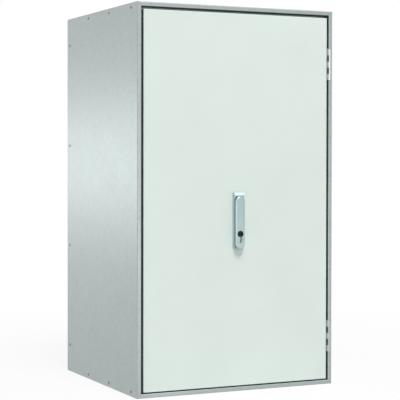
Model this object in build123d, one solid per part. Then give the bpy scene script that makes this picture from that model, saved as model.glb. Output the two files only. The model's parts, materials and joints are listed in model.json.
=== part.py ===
from build123d import *
import math
import os

# Roadside utility cabinet with one flush door, a swing handle and a two-way rod lock.
# All lengths are millimetres. X runs to the right seen from the front, the front faces -Y, Z is up.
# The origin is the middle of the cabinet's footprint at the floor.

# Cabinet body
WIDTH = 600.0
DEPTH = 550.0
HEIGHT = 1060.0
BODY_SHEET = 1.5
BEND = 1.0  # inner radius of every fold
FRAME_FACE = 12.0  # front face of the frame round the door
REBATE_DEPTH = 30.0  # from the frame's front face back to the sealing land
LAND_WIDTH = 26.0
MITRE_GAP = 0.3
ROOF_FLANGE = 25.0  # side flanges of the roof and floor, riveted inside the side panels
ROOF_FLANGE_INSET = 6.0  # from the back of the land to the flange's front end
REAR_FLANGE = 35.0
FLANGE_END_GAP = 1.0

# Rivets of the side panels
RIVET_SHANK_R = 2.0
RIVET_HEAD_R = 4.0
RIVET_HEAD_H = 1.2
RIVET_BULB_R = 2.8
RIVET_BULB_H = 2.5
RIVET_EDGE = 12.5  # from the top and bottom edges
RIVET_FIRST_DEPTH = 45.0  # from the front
RIVET_DEPTH_PITCH = 163.0
RIVETS_PER_ROW = 3
REAR_RIVET_EDGE = 21.0
REAR_RIVET_INSET = 80.0  # the first and last of the rear row, from the bottom and top edges
REAR_RIVETS = 4

# Floor: fixing holes for the plinth and the cable entry
PLINTH_HOLE_R = 6.5
PLINTH_SPACING_X = 500.0
PLINTH_SPACING_Y = 400.0
CABLE_OPENING_X = 300.0
CABLE_OPENING_Y = 200.0
CABLE_OPENING_CENTRE_Y = 60.0
GLAND_OVERLAP = 22.0
GLAND_SHEET = 2.0
GLAND_SEAL = 3.0
GLAND_STUD_R = 3.0
GLAND_STUDS_ACROSS = 3
GLAND_STUD_PROUD = 4.0
M6_NUT_R = 5.77
M6_NUT_H = 5.0

# Mounting plate on four shouldered studs
PLATE_SIDE_MARGIN = 50.0  # from the cabinet's sides
PLATE_END_MARGIN = 80.0  # from its top and bottom
PLATE_SHEET = 2.0
PLATE_STANDOFF = 28.0  # from the rear panel's inner face
PLATE_STUD_INSET = 20.0
STUD_R = 4.0
STUD_SHOULDER_R = 7.0
STUD_PROUD = 4.0
BOLT_HOLE_CLEARANCE = 0.5
M8_NUT_R = 7.5
M8_NUT_H = 6.5

# Door
DOOR_GAP = 6.0  # at its sides
DOOR_TOP_GAP = 7.5
DOOR_BOTTOM_GAP = 3.0
DOOR_SHEET = 1.5
DOOR_THICKNESS = 22.0
DOOR_LIP = 36.0
STIFFENER_X = 150.0
STIFFENER_TOP = 26.0
STIFFENER_FOOT = 14.0
STIFFENER_HEIGHT = 15.0
STIFFENER_END_GAP = 8.0
GASKET_WIDTH = 10.0
GASKET_INSET = 2.0
GASKET_BEVEL = 2.5
GASKET_CORNER_R = 12.0
SEAL_GAP = 0.3

# Hinges, in the gap at the right-hand side
HINGE_LENGTH = 87.5
HINGE_KNUCKLES = 5
KNUCKLE_R = 2.7
KNUCKLE_GAP = 0.3
KNUCKLE_PROUD = 0.2  # in front of the leaf's face
HINGE_PIN_R = 1.6
HINGE_PIN_FIT = 0.05
HINGE_LEAF = 1.4
HINGE_LEAF_REACH = 7.2  # from the pin's axis to the free edge on the frame
HINGE_LEAF_DEPTH = 16.0  # from the pin's axis back along the door's edge
LOWER_HINGE_INSET = 93.0  # from the cabinet's bottom edge
UPPER_HINGE_INSET = 107.5  # from its top edge

# Swing handle
HANDLE_WIDTH = 33.0
HANDLE_HEIGHT = 161.0
HANDLE_BOTTOM = 388.0
HANDLE_BASE = 7.0
HANDLE_EDGE = 2.0
HANDLE_SHOULDER_R = 3.5  # corners of its top end
HANDLE_FOOT_FLAT = 2.0  # between the round corners of its lower end
HOOD_HEIGHT = 6.0
HOOD_SLOPE = 4.0
HOOD_CLEARANCE = 0.8
LEVER_WIDTH = 29.0
LEVER_THICKNESS = 8.7
LEVER_EDGE = 3.0
LEVER_GAP = 0.3
LEVER_LIFT = 30.0  # degrees
LEVER_TOP_DROP = 11.0  # from the base's top end to the lever's
LEVER_FOOT_RISE = 5.0  # from the base's lower end to the lever's
GRIP_LENGTH = 70.0
GRIP_DEPTH = 0.6
GRIP_MARGIN = 4.0
LEVER_PIN_R = 1.5
LEVER_PIN_RISE = 7.0  # above the spindle's axis
LEVER_PIN_DEPTH = 5.0  # behind the lever's face
LEVER_PIN_LENGTH = 25.0
PIN_FIT = 0.05
HUB_HEAD_R = 3.2
HUB_HEAD_WIDTH = 12.0
HUB_CLEARANCE = 0.3
SPINDLE_R = 7.95
SPINDLE_FIT = 0.05
SPINDLE_BOSS_R = 12.0
BOSS_LENGTH = 13.0  # behind the door's front face
SPINDLE_SQUARE = 9.0
BOSS_CLEARANCE = 0.3

# Profile cylinder
LOCK_RISE = 46.7  # from the handle's lower end to the plug's axis
LOCK_HEAD_R = 8.5
LOCK_TAIL_WIDTH = 10.0
LOCK_HEIGHT = 33.0
LOCK_LENGTH = 30.0
LOCK_CAM_LENGTH = 10.0
LOCK_CAM_R = 15.0
LOCK_CAM_DISC_R = 8.0
LOCK_CAM_WIDTH = 6.0
LOCK_CAM_GAP = 0.3
LOCK_BRIDGE = 7.5
LOCK_PLUG_R = 5.0
LOCK_CLEARANCE = 0.5
LOCK_SETBACK = 0.2  # of its face behind the base's
LOCK_BOSS_WALL = 3.5
KEYWAY_WIDTH = 1.6
KEYWAY_HEIGHT = 7.6
KEYWAY_DEPTH = 12.0
SCREW_R = 2.5
SCREW_HEAD_R = 4.5
SCREW_HEAD_H = 3.2
SCREW_DEPTH = 5.0
CLAMP_WIDTH = 44.0
CLAMP_HEIGHT = 68.0
CLAMP_SHEET = 2.0
CLAMP_SCREW_RISE = 8.5
CLAMP_LUG_WIDTH = 20.0

# Rod lock: pinion, two racks and their case
GEAR_MODULE = 1.5
GEAR_TEETH = 17
PRESSURE_ANGLE = 20.0
GEAR_BACKLASH = 0.15
FLANK_STEPS = 4
ROD_WIDTH = 10.0
ROD_THICKNESS = 6.0
ROD_FRONT_GAP = 2.5  # behind the sealing land
ROD_END_GAP = 2.0  # below the land's edge when drawn back
ROD_CLEARANCE = 0.3
RACK_TEETH_BEHIND = 6
RACK_TEETH_AHEAD = 2
RACK_TAIL = 2.0
CASE_HALF_WIDTH = 36.0
CASE_HALF_HEIGHT = 36.0
CASE_WALL = 3.0
CASE_COVER = 2.0
CASE_POST_R = 4.5
CASE_SCREW_X = 30.5
CASE_SCREW_Z = 28.0
CASE_SCREW_R = 2.0
CASE_SCREW_HEAD_R = 3.5
CASE_SCREW_HEAD_H = 2.4
CASE_SCREW_LENGTH = 10.0
HANDLE_SCREW_DROP = 24.0  # below the spindle's axis
PINION_BOSS_R = 9.0
PINION_END_R = 7.95
CLIP_R = 9.5
CLIP_THICKNESS = 1.2
ROD_GUIDE_HEIGHT = 11.0
ROD_GUIDE_WALL = 5.0
ROD_STRAP_WIDTH = 20.0
ROD_STRAP_FOOT = 12.0
ROD_STRAP_SHARE = 0.5  # place between the case and the lip guide

# Earth studs
EARTH_STUD_LENGTH = 22.0
EARTH_STUD_INSET = 60.0
EARTH_STUD_RISE = 110.0

# Places worked out from the sizes above
SIDE = WIDTH / 2
FRONT = -DEPTH / 2
REAR = DEPTH / 2
MIDDLE = HEIGHT / 2
LAND_Y = FRONT + REBATE_DEPTH
LAND_BACK = LAND_Y + BODY_SHEET
LAND_EDGE = FRAME_FACE + LAND_WIDTH  # in from the outside
OUTER_BEND = BEND + BODY_SHEET
DOOR_WIDTH = WIDTH - 2 * (FRAME_FACE + DOOR_GAP)
DOOR_BOTTOM = FRAME_FACE + DOOR_BOTTOM_GAP
DOOR_TOP = HEIGHT - FRAME_FACE - DOOR_TOP_GAP
DOOR_HEIGHT = DOOR_TOP - DOOR_BOTTOM
DOOR_MIDDLE = (DOOR_BOTTOM + DOOR_TOP) / 2
DOOR_EDGE = DOOR_WIDTH / 2
DOOR_BACK = FRONT + DOOR_THICKNESS
DOOR_INNER = FRONT + DOOR_SHEET
GASKET_HEIGHT = LAND_Y - SEAL_GAP - DOOR_BACK
HINGE_X = DOOR_EDGE + DOOR_GAP / 2
HINGE_Y = FRONT - HINGE_LEAF + KNUCKLE_R - KNUCKLE_PROUD
LOWER_HINGE_Z = LOWER_HINGE_INSET
UPPER_HINGE_Z = HEIGHT - UPPER_HINGE_INSET - HINGE_LENGTH
KNUCKLE_PITCH = HINGE_LENGTH / HINGE_KNUCKLES
BASE_FACE = FRONT - HANDLE_BASE
LEVER_BACK = BASE_FACE - LEVER_GAP
LEVER_FACE = LEVER_BACK - LEVER_THICKNESS
LEVER_R = LEVER_WIDTH / 2
LEVER_LENGTH = HANDLE_HEIGHT - LEVER_TOP_DROP - LEVER_FOOT_RISE
SPINDLE_Z = HANDLE_BOTTOM + HANDLE_HEIGHT - LEVER_TOP_DROP - LEVER_R
LEVER_PIN_Y = LEVER_FACE + LEVER_PIN_DEPTH
LEVER_PIN_Z = SPINDLE_Z + LEVER_PIN_RISE
BOSS_END = FRONT + BOSS_LENGTH
LOCK_Z = HANDLE_BOTTOM + LOCK_RISE
LOCK_FACE = BASE_FACE + LOCK_SETBACK
LOCK_END = LOCK_FACE + LOCK_LENGTH
LOCK_TAIL_END = LOCK_END + LOCK_CAM_LENGTH
PITCH_R = GEAR_MODULE * GEAR_TEETH / 2
TIP_R = PITCH_R + GEAR_MODULE
ROOT_R = PITCH_R - 1.25 * GEAR_MODULE
TOOTH_PITCH = math.pi * GEAR_MODULE
ROD_FRONT = LAND_BACK + ROD_FRONT_GAP
ROD_BACK = ROD_FRONT + ROD_THICKNESS
ROD_INNER_X = PITCH_R + 1.25 * GEAR_MODULE
ROD_OUTER_X = ROD_INNER_X + ROD_WIDTH
ROD_X = ROD_INNER_X + ROD_WIDTH / 2
CASE_FLOOR = ROD_FRONT - ROD_CLEARANCE
CASE_TOP = ROD_BACK + ROD_CLEARANCE
CASE_END = CASE_TOP + CASE_COVER
ROD_TOP = HEIGHT - LAND_EDGE - ROD_END_GAP
ROD_BOTTOM = LAND_EDGE + ROD_END_GAP
GLAND_TOP = BODY_SHEET + GLAND_SEAL + GLAND_SHEET
PLATE_WIDTH = WIDTH - 2 * PLATE_SIDE_MARGIN
PLATE_HEIGHT = HEIGHT - 2 * PLATE_END_MARGIN
PLATE_BACK = REAR - BODY_SHEET - PLATE_STANDOFF
PLATE_FRONT = PLATE_BACK - PLATE_SHEET


def cuboid(x0, x1, y0, y1, z0, z1):
    """A block between two limits on each axis."""
    block = Box(abs(x1 - x0), abs(y1 - y0), abs(z1 - z0))
    return Pos((x0 + x1) / 2, (y0 + y1) / 2, (z0 + z1) / 2) * block


def rod_y(radius, y0, y1, x=0.0, z=0.0):
    """A round bar along Y."""
    return Pos(x, (y0 + y1) / 2, z) * Rot(90, 0, 0) * Cylinder(radius, abs(y1 - y0))


def rod_x(radius, x0, x1, y=0.0, z=0.0):
    """A round bar along X."""
    return Pos((x0 + x1) / 2, y, z) * Rot(0, 90, 0) * Cylinder(radius, abs(x1 - x0))


def rod_z(radius, z0, z1, x=0.0, y=0.0):
    """A round bar along Z."""
    return Pos(x, y, (z0 + z1) / 2) * Cylinder(radius, abs(z1 - z0))


def front_plane(y):
    """Plane at depth y that faces the back, with its own x to the left seen from the front."""
    return Plane(origin=(0, y, 0), x_dir=(-1, 0, 0), z_dir=(0, 1, 0))


def thicken(outline, y0, y1):
    """An outline drawn in X and Z, made solid from depth y0 to y1."""
    return extrude(front_plane(y0) * mirror(outline, about=Plane.YZ), amount=y1 - y0)


def bent_sheet(points, thickness):
    """Section of a sheet folded along points, which run on its right-hand face.

    The other face is offset to the left of the way, mitred at each corner, and both
    faces are rounded so that the fold keeps its inner radius.
    """
    path = [Vector(*point) for point in points]
    ways = [(b - a).normalized() for a, b in zip(path, path[1:])]
    lefts = [Vector(-way.Y, way.X) for way in ways]
    other = [path[0] + lefts[0] * thickness]
    near_radii = []
    far_radii = []
    for corner, before, after in zip(path[1:-1], lefts, lefts[1:]):
        other.append(corner + (before + after) * (thickness / (1 + before.dot(after))))
        turns_left = before.cross(after).Z > 0
        near_radii.append(BEND + thickness if turns_left else BEND)
        far_radii.append(BEND if turns_left else BEND + thickness)
    other.append(path[-1] + lefts[-1] * thickness)
    near = FilletPolyline(*path, radius=near_radii)
    far = FilletPolyline(*other, radius=far_radii)
    ends = [Line(path[0], other[0]), Line(path[-1], other[-1])]
    return make_face([*near.edges(), *far.edges(), *ends])


def folded_tray(width, height, depth, sheet, rear_bend):
    """A tray folded up on four sides, its outer face at y 0 and its walls towards +Y."""
    outer = Pos(0, depth / 2, 0) * Box(width, depth, height)
    rounded = outer.edges().filter_by(Axis.Y) + outer.edges().group_by(Axis.Y)[0]
    if rear_bend:
        rounded = outer.edges()
    outer = fillet(rounded, BEND + sheet)
    inner_depth = depth - 2 * sheet if rear_bend else depth
    inner = Pos(0, sheet + inner_depth / 2, 0) * Box(width - 2 * sheet, inner_depth, height - 2 * sheet)
    hollow = inner.edges()
    if not rear_bend:
        hollow = inner.edges().filter_by(Axis.Y) + inner.edges().group_by(Axis.Y)[0]
    return outer - fillet(hollow, BEND)


def hex_nut(radius, height, bore):
    """A hexagon nut on the XY plane, with its bore along Z."""
    return extrude(RegularPolygon(radius, 6), amount=height) - rod_z(bore, 0, height)


def group(solids):
    """Several separate solids of one kind."""
    return Compound(children=list(solids))


# Body panels


def frame_section(half, rear):
    """Side wall, frame face, rebate and sealing land; u runs outwards and v is the depth."""
    return bent_sheet(
        [
            (half - LAND_EDGE, LAND_Y),
            (half - FRAME_FACE, LAND_Y),
            (half - FRAME_FACE, FRONT),
            (half, FRONT),
            (half, rear),
        ],
        BODY_SHEET,
    )


def corner_cut(from_side):
    """What the mitre takes from the side panel (or else the roof) at the right-hand top corner."""
    reach = LAND_EDGE + 2 * BODY_SHEET
    gap = MITRE_GAP / 2 * math.sqrt(2)
    if from_side:
        x0 = SIDE - BODY_SHEET
        points = [
            (x0, HEIGHT + 1),
            (x0, HEIGHT - BODY_SHEET - gap),
            (SIDE - reach, HEIGHT - reach - gap),
            (SIDE - reach, HEIGHT + 1),
        ]
    else:
        points = [
            (SIDE - gap, HEIGHT),
            (SIDE - gap - reach, HEIGHT - reach),
            (SIDE + 1, HEIGHT - reach),
            (SIDE + 1, HEIGHT),
        ]
    return thicken(make_face(Polyline(*points, close=True)), FRONT - 1, LAND_BACK + BODY_SHEET)


def rivet_places():
    """Depth and height of each rivet of a side panel."""
    rows = [RIVET_EDGE, HEIGHT - RIVET_EDGE]
    depths = [FRONT + RIVET_FIRST_DEPTH + n * RIVET_DEPTH_PITCH for n in range(RIVETS_PER_ROW)]
    pitch = (HEIGHT - 2 * REAR_RIVET_INSET) / (REAR_RIVETS - 1)
    column = [REAR_RIVET_INSET + n * pitch for n in range(REAR_RIVETS)]
    return [(y, z) for z in rows for y in depths] + [(REAR - REAR_RIVET_EDGE, z) for z in column]


def rivet_holes():
    """Rivet holes through the right-hand side panel and the flange inside it."""
    inside = SIDE - 2 * BODY_SHEET - 1
    return [rod_x(RIVET_SHANK_R, inside, SIDE + 1, y, z) for y, z in rivet_places()]


def side_panel():
    """Right-hand side panel."""
    panel = extrude(frame_section(SIDE, REAR), amount=HEIGHT)
    top_cut = corner_cut(True)
    bottom_cut = mirror(top_cut, about=Plane.XY.offset(MIDDLE))
    return panel - [top_cut, bottom_cut] - rivet_holes()


def roof_panel():
    """Roof with its part of the door frame and a folded flange at each side."""
    plane = Plane(origin=(0, 0, MIDDLE), x_dir=(0, 0, 1), z_dir=(-1, 0, 0))
    half_width = SIDE - BODY_SHEET
    panel = extrude(plane * frame_section(MIDDLE, REAR), amount=half_width, both=True)
    y0 = LAND_BACK + ROOF_FLANGE_INSET
    y1 = REAR - REAR_FLANGE - FLANGE_END_GAP
    overlap = 4 * OUTER_BEND
    fold = bent_sheet(
        [
            (half_width, HEIGHT - BODY_SHEET - ROOF_FLANGE),
            (half_width, HEIGHT),
            (half_width - overlap, HEIGHT),
        ],
        BODY_SHEET,
    )
    flange = thicken(fold, y0, y1)
    strip = cuboid(half_width - overlap / 2, half_width, y0, y1, HEIGHT - BODY_SHEET, HEIGHT)
    cut = corner_cut(False)
    for turned in (False, True):
        move = (lambda shape: mirror(shape, about=Plane.YZ)) if turned else (lambda shape: shape)
        panel = panel - move(cut) - move(strip) + move(flange)
        panel -= [move(hole) for hole in rivet_holes()]
    return panel


def gland_stud_places():
    """Places of the studs round the cable opening."""
    x = CABLE_OPENING_X / 2 + GLAND_OVERLAP / 2
    y = CABLE_OPENING_Y / 2 + GLAND_OVERLAP / 2
    across = [2 * x * n / (GLAND_STUDS_ACROSS - 1) - x for n in range(GLAND_STUDS_ACROSS)]
    edges = [(px, side * y) for px in across for side in (-1, 1)]
    return [(px, py + CABLE_OPENING_CENTRE_Y) for px, py in edges]


def cable_opening(height):
    """Column over the cable opening."""
    return Pos(0, CABLE_OPENING_CENTRE_Y, 0) * Box(CABLE_OPENING_X, CABLE_OPENING_Y, height)


def floor_panel():
    """The roof's mirror image with the plinth holes and the cable opening."""
    panel = mirror(roof_panel(), about=Plane.XY.offset(MIDDLE))
    for x in (-PLINTH_SPACING_X / 2, PLINTH_SPACING_X / 2):
        for y in (-PLINTH_SPACING_Y / 2, PLINTH_SPACING_Y / 2):
            panel -= rod_z(PLINTH_HOLE_R, -1, BODY_SHEET + 1, x, y)
    return panel - cable_opening(4 * BODY_SHEET)


def rear_panel():
    """Tray with its four flanges inside the other panels."""
    tray = folded_tray(WIDTH - 2 * BODY_SHEET, HEIGHT - 2 * BODY_SHEET, REAR_FLANGE, BODY_SHEET, False)
    panel = Pos(0, REAR, MIDDLE) * Rot(0, 0, 180) * tray
    holes = rivet_holes()
    return panel - holes - [mirror(hole, about=Plane.YZ) for hole in holes]


def rivets():
    """Blind rivets of the right-hand side panel."""
    grip = 2 * BODY_SHEET
    outline = Polyline(
        (0, -grip - RIVET_BULB_H),
        (RIVET_BULB_R, -grip - RIVET_BULB_H),
        (RIVET_BULB_R, -grip),
        (RIVET_SHANK_R, -grip),
        (RIVET_SHANK_R, 0),
        (RIVET_HEAD_R, 0),
        (RIVET_HEAD_R * 0.6, RIVET_HEAD_H),
        (0, RIVET_HEAD_H),
        close=True,
    )
    rivet = Rot(0, 90, 0) * revolve(Plane.XZ * make_face(outline), Axis.Z)
    return group(Pos(SIDE, y, z) * rivet for y, z in rivet_places())


# Fittings in the body


def gland_plate():
    """Plate over the cable opening."""
    wide = CABLE_OPENING_X + 2 * GLAND_OVERLAP
    deep = CABLE_OPENING_Y + 2 * GLAND_OVERLAP
    bottom = GLAND_TOP - GLAND_SHEET
    plate = Pos(0, CABLE_OPENING_CENTRE_Y, bottom + GLAND_SHEET / 2) * Box(wide, deep, GLAND_SHEET)
    holes = [
        rod_z(GLAND_STUD_R + BOLT_HOLE_CLEARANCE, bottom, GLAND_TOP, x, y) for x, y in gland_stud_places()
    ]
    return plate - holes


def gland_plate_seal():
    """Flat seal between the floor and the gland plate."""
    wide = CABLE_OPENING_X + 2 * GLAND_OVERLAP
    deep = CABLE_OPENING_Y + 2 * GLAND_OVERLAP
    seal = Pos(0, CABLE_OPENING_CENTRE_Y, BODY_SHEET + GLAND_SEAL / 2) * Box(wide, deep, GLAND_SEAL)
    holes = [
        rod_z(GLAND_STUD_R + BOLT_HOLE_CLEARANCE, 0, GLAND_TOP, x, y) for x, y in gland_stud_places()
    ]
    return seal - cable_opening(4 * GLAND_TOP) - holes


def gland_plate_studs():
    """Weld studs of the gland plate, on the floor."""
    top = GLAND_TOP + M6_NUT_H + GLAND_STUD_PROUD
    return group(rod_z(GLAND_STUD_R, BODY_SHEET, top, x, y) for x, y in gland_stud_places())


def gland_plate_nuts():
    """Nuts of the gland plate."""
    nut = hex_nut(M6_NUT_R, M6_NUT_H, GLAND_STUD_R)
    return group(Pos(x, y, GLAND_TOP) * nut for x, y in gland_stud_places())


def plate_stud_places():
    """Places of the mounting plate's studs."""
    x = PLATE_WIDTH / 2 - PLATE_STUD_INSET
    z = PLATE_HEIGHT / 2 - PLATE_STUD_INSET
    return [(i * x, MIDDLE + j * z) for i in (-1, 1) for j in (-1, 1)]


def mounting_plate():
    """Plate for the equipment, in front of the rear panel."""
    plate = cuboid(
        -PLATE_WIDTH / 2,
        PLATE_WIDTH / 2,
        PLATE_FRONT,
        PLATE_BACK,
        MIDDLE - PLATE_HEIGHT / 2,
        MIDDLE + PLATE_HEIGHT / 2,
    )
    hole_r = STUD_R + BOLT_HOLE_CLEARANCE
    return plate - [rod_y(hole_r, PLATE_FRONT, PLATE_BACK, x, z) for x, z in plate_stud_places()]


def mounting_plate_studs():
    """Shouldered studs welded to the rear panel."""
    tip = PLATE_FRONT - M8_NUT_H - STUD_PROUD
    studs = []
    for x, z in plate_stud_places():
        shoulder = rod_y(STUD_SHOULDER_R, PLATE_BACK, REAR - BODY_SHEET, x, z)
        studs.append(shoulder + rod_y(STUD_R, tip, PLATE_BACK, x, z))
    return group(studs)


def mounting_plate_nuts():
    """Nuts in front of the mounting plate."""
    nut = Rot(90, 0, 0) * hex_nut(M8_NUT_R, M8_NUT_H, STUD_R)
    return group(Pos(x, PLATE_FRONT, z) * nut for x, z in plate_stud_places())


def earth_stud():
    """Earth stud on the floor, beside the door."""
    x = SIDE - EARTH_STUD_INSET
    y = LAND_BACK + EARTH_STUD_INSET
    return rod_z(STUD_R, BODY_SHEET, BODY_SHEET + EARTH_STUD_LENGTH, x, y)


def earth_nut():
    """Nut of the earth stud on the floor."""
    x = SIDE - EARTH_STUD_INSET
    y = LAND_BACK + EARTH_STUD_INSET
    return Pos(x, y, BODY_SHEET) * hex_nut(M8_NUT_R, M8_NUT_H, STUD_R)


# Hinges


def knuckle_span(bottom, number):
    """Lower and upper end of one knuckle."""
    low = bottom + number * KNUCKLE_PITCH
    return low + KNUCKLE_GAP / 2, low + KNUCKLE_PITCH - KNUCKLE_GAP / 2


def knuckles(bottom, first):
    """Every second knuckle from the first, without its bore."""
    spans = [knuckle_span(bottom, n) for n in range(first, HINGE_KNUCKLES, 2)]
    return [rod_z(KNUCKLE_R, low, high, HINGE_X, HINGE_Y) for low, high in spans]


def hinge_bore(bottom):
    """Bore of the pin through all knuckles."""
    radius = HINGE_PIN_R + HINGE_PIN_FIT
    return rod_z(radius, bottom - 1, bottom + HINGE_LENGTH + 1, HINGE_X, HINGE_Y)


def hinge_frame_leaf(bottom):
    """Leaf welded to the frame's front face, with its knuckles."""
    clear = HINGE_X + KNUCKLE_R + KNUCKLE_GAP
    end = HINGE_X + HINGE_LEAF_REACH
    top = bottom + HINGE_LENGTH
    leaf = cuboid(clear, end, FRONT - HINGE_LEAF, FRONT, bottom + KNUCKLE_GAP / 2, top - KNUCKLE_GAP / 2)
    arms = []
    for number in range(0, HINGE_KNUCKLES, 2):
        low, high = knuckle_span(bottom, number)
        arms.append(cuboid(HINGE_X, clear + 1, FRONT - HINGE_LEAF, FRONT, low, high))
    return leaf + arms + knuckles(bottom, 0) - hinge_bore(bottom)


def hinge_door_leaf(bottom):
    """Leaf welded to the door's edge, with its knuckles."""
    back = HINGE_Y + HINGE_LEAF_DEPTH
    low, _ = knuckle_span(bottom, 1)
    _, high = knuckle_span(bottom, HINGE_KNUCKLES - 2)
    clear = HINGE_Y + KNUCKLE_R + KNUCKLE_GAP
    leaf = cuboid(DOOR_EDGE, DOOR_EDGE + HINGE_LEAF, clear, back, low, high)
    arms = []
    for number in range(1, HINGE_KNUCKLES, 2):
        start, end = knuckle_span(bottom, number)
        reach = HINGE_X - KNUCKLE_R + HINGE_LEAF
        arms.append(cuboid(HINGE_X - KNUCKLE_R, reach, HINGE_Y, clear + 1, start, end))
    return leaf + arms + knuckles(bottom, 1) - hinge_bore(bottom)


def hinge_pin(bottom):
    """Pin with a head that rests on the top knuckle."""
    low, _ = knuckle_span(bottom, 0)
    _, high = knuckle_span(bottom, HINGE_KNUCKLES - 1)
    shank = rod_z(HINGE_PIN_R, low, high, HINGE_X, HINGE_Y)
    return shank + rod_z(KNUCKLE_R, high, high + HINGE_PIN_R, HINGE_X, HINGE_Y)


# Door


def handle_outline():
    """Plan of the handle's base: small shoulders at the top and a round lower end."""
    plan = Pos(0, HANDLE_BOTTOM + HANDLE_HEIGHT / 2) * Rectangle(HANDLE_WIDTH, HANDLE_HEIGHT)
    plan = fillet(plan.vertices().group_by(Axis.Y)[-1], HANDLE_SHOULDER_R)
    return fillet(plan.vertices().group_by(Axis.Y)[0], (HANDLE_WIDTH - HANDLE_FOOT_FLAT) / 2)


def lock_outline(grow):
    """Profile of the lock cylinder: a round head over a narrow tail with a round end."""
    head = Circle(LOCK_HEAD_R + grow)
    tail_r = LOCK_TAIL_WIDTH / 2
    drop = LOCK_HEIGHT - LOCK_HEAD_R - tail_r
    tail = Pos(0, -drop / 2) * Rectangle(LOCK_TAIL_WIDTH + 2 * grow, drop)
    foot = Pos(0, -drop) * Circle(tail_r + grow)
    return Pos(0, LOCK_Z) * (head + tail + foot)


def lock_boss(grow):
    """Block round the cylinder behind the handle's base."""
    width = 2 * (LOCK_HEAD_R + LOCK_BOSS_WALL + grow)
    height = LOCK_HEIGHT + 2 * (LOCK_BOSS_WALL + grow)
    middle = LOCK_Z + LOCK_HEAD_R - LOCK_HEIGHT / 2
    return Pos(0, middle) * RectangleRounded(width, height, LOCK_BOSS_WALL)


def door_panel():
    """Door folded from one sheet, with a lip round its back and the handle's openings."""
    tray = folded_tray(DOOR_WIDTH, DOOR_HEIGHT, DOOR_THICKNESS, DOOR_SHEET, True)
    door = Pos(0, FRONT, DOOR_MIDDLE) * tray
    window = Pos(0, DOOR_BACK, DOOR_MIDDLE) * Box(
        DOOR_WIDTH - 2 * DOOR_LIP, 4 * DOOR_SHEET, DOOR_HEIGHT - 2 * DOOR_LIP
    )
    spindle_hole = rod_y(SPINDLE_BOSS_R + BOSS_CLEARANCE, FRONT - 1, DOOR_INNER + 1, 0, SPINDLE_Z)
    lock_hole = thicken(lock_boss(BOSS_CLEARANCE), FRONT - 1, DOOR_INNER + 1)
    screw_holes = [
        rod_y(SCREW_R + BOLT_HOLE_CLEARANCE, FRONT - 1, DOOR_INNER + 1, 0, z) for z in handle_screw_heights()
    ]
    return door - window - spindle_hole - lock_hole - screw_holes


def door_stiffeners():
    """Two upright hat sections welded inside the door."""
    base = DOOR_INNER
    half = STIFFENER_TOP / 2
    crown = base + STIFFENER_HEIGHT
    section = bent_sheet(
        [
            (-half - STIFFENER_FOOT, base),
            (-half, base),
            (-half, crown),
            (half, crown),
            (half, base),
            (half + STIFFENER_FOOT, base),
        ],
        DOOR_SHEET,
    )
    inset = DOOR_SHEET + STIFFENER_END_GAP
    bar = Pos(0, 0, DOOR_BOTTOM + inset) * extrude(section, amount=DOOR_HEIGHT - 2 * inset)
    return group(Pos(x, 0, 0) * bar for x in (-STIFFENER_X, STIFFENER_X))


def door_gasket():
    """Foam seal round the door's lip."""
    wide = DOOR_WIDTH - 2 * GASKET_INSET
    high = DOOR_HEIGHT - 2 * GASKET_INSET
    outer = RectangleRounded(wide, high, GASKET_CORNER_R)
    inner = RectangleRounded(
        wide - 2 * GASKET_WIDTH, high - 2 * GASKET_WIDTH, GASKET_CORNER_R - GASKET_WIDTH
    )
    ring = thicken(Pos(0, DOOR_MIDDLE) * (outer - inner), DOOR_BACK, DOOR_BACK + GASKET_HEIGHT)
    return chamfer(ring.edges().group_by(Axis.Y)[-1], GASKET_BEVEL)


def door_stud_place():
    """Place of the door's earth stud."""
    return DOOR_EDGE - EARTH_STUD_INSET, EARTH_STUD_RISE


def door_earth_stud():
    """Earth stud inside the door."""
    x, z = door_stud_place()
    return rod_y(STUD_R, DOOR_INNER, DOOR_INNER + EARTH_STUD_LENGTH, x, z)


def door_earth_nut():
    """Nut of the door's earth stud."""
    x, z = door_stud_place()
    return Pos(x, DOOR_INNER, z) * Rot(-90, 0, 0) * hex_nut(M8_NUT_R, M8_NUT_H, STUD_R)


# Swing handle and lock cylinder


def handle_screw_heights():
    """Heights of the two screws that hold the handle's base."""
    clamp_bottom = LOCK_Z + LOCK_HEAD_R - LOCK_HEIGHT - LOCK_BOSS_WALL - 2 * CLAMP_SCREW_RISE
    return SPINDLE_Z - HANDLE_SCREW_DROP, clamp_bottom + CLAMP_SCREW_RISE


def handle_base():
    """Base of the swing handle: plate, hood over the lever's end, and bosses through the door."""
    plate = thicken(handle_outline(), BASE_FACE, FRONT)
    hood_face = BASE_FACE - HOOD_HEIGHT
    hood_bottom = SPINDLE_Z + LEVER_R + HOOD_CLEARANCE
    top = HANDLE_BOTTOM + HANDLE_HEIGHT
    above = cuboid(-HANDLE_WIDTH, HANDLE_WIDTH, hood_face, FRONT, hood_bottom, top + 1)
    hood = thicken(handle_outline(), hood_face, FRONT) & above
    slope = make_face(
        Polyline((hood_face, top - 2 * HOOD_SLOPE), (hood_face, top + 1), (BASE_FACE, top + 1), close=True)
    )
    hood -= extrude(Plane.YZ * slope, amount=HANDLE_WIDTH, both=True)
    base = chamfer(plate.edges().group_by(Axis.Y)[0], HANDLE_EDGE) + hood
    base += rod_y(SPINDLE_BOSS_R, FRONT, BOSS_END, 0, SPINDLE_Z)
    base += thicken(lock_boss(0), FRONT, BOSS_END)
    base -= rod_y(SPINDLE_R + SPINDLE_FIT, BASE_FACE - 1, BOSS_END + 1, 0, SPINDLE_Z)
    base -= thicken(lock_outline(LOCK_CAM_GAP), BASE_FACE - 1, BOSS_END + 1)
    return base - [rod_y(SCREW_R, FRONT - SCREW_DEPTH, FRONT, 0, z) for z in handle_screw_heights()]


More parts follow.
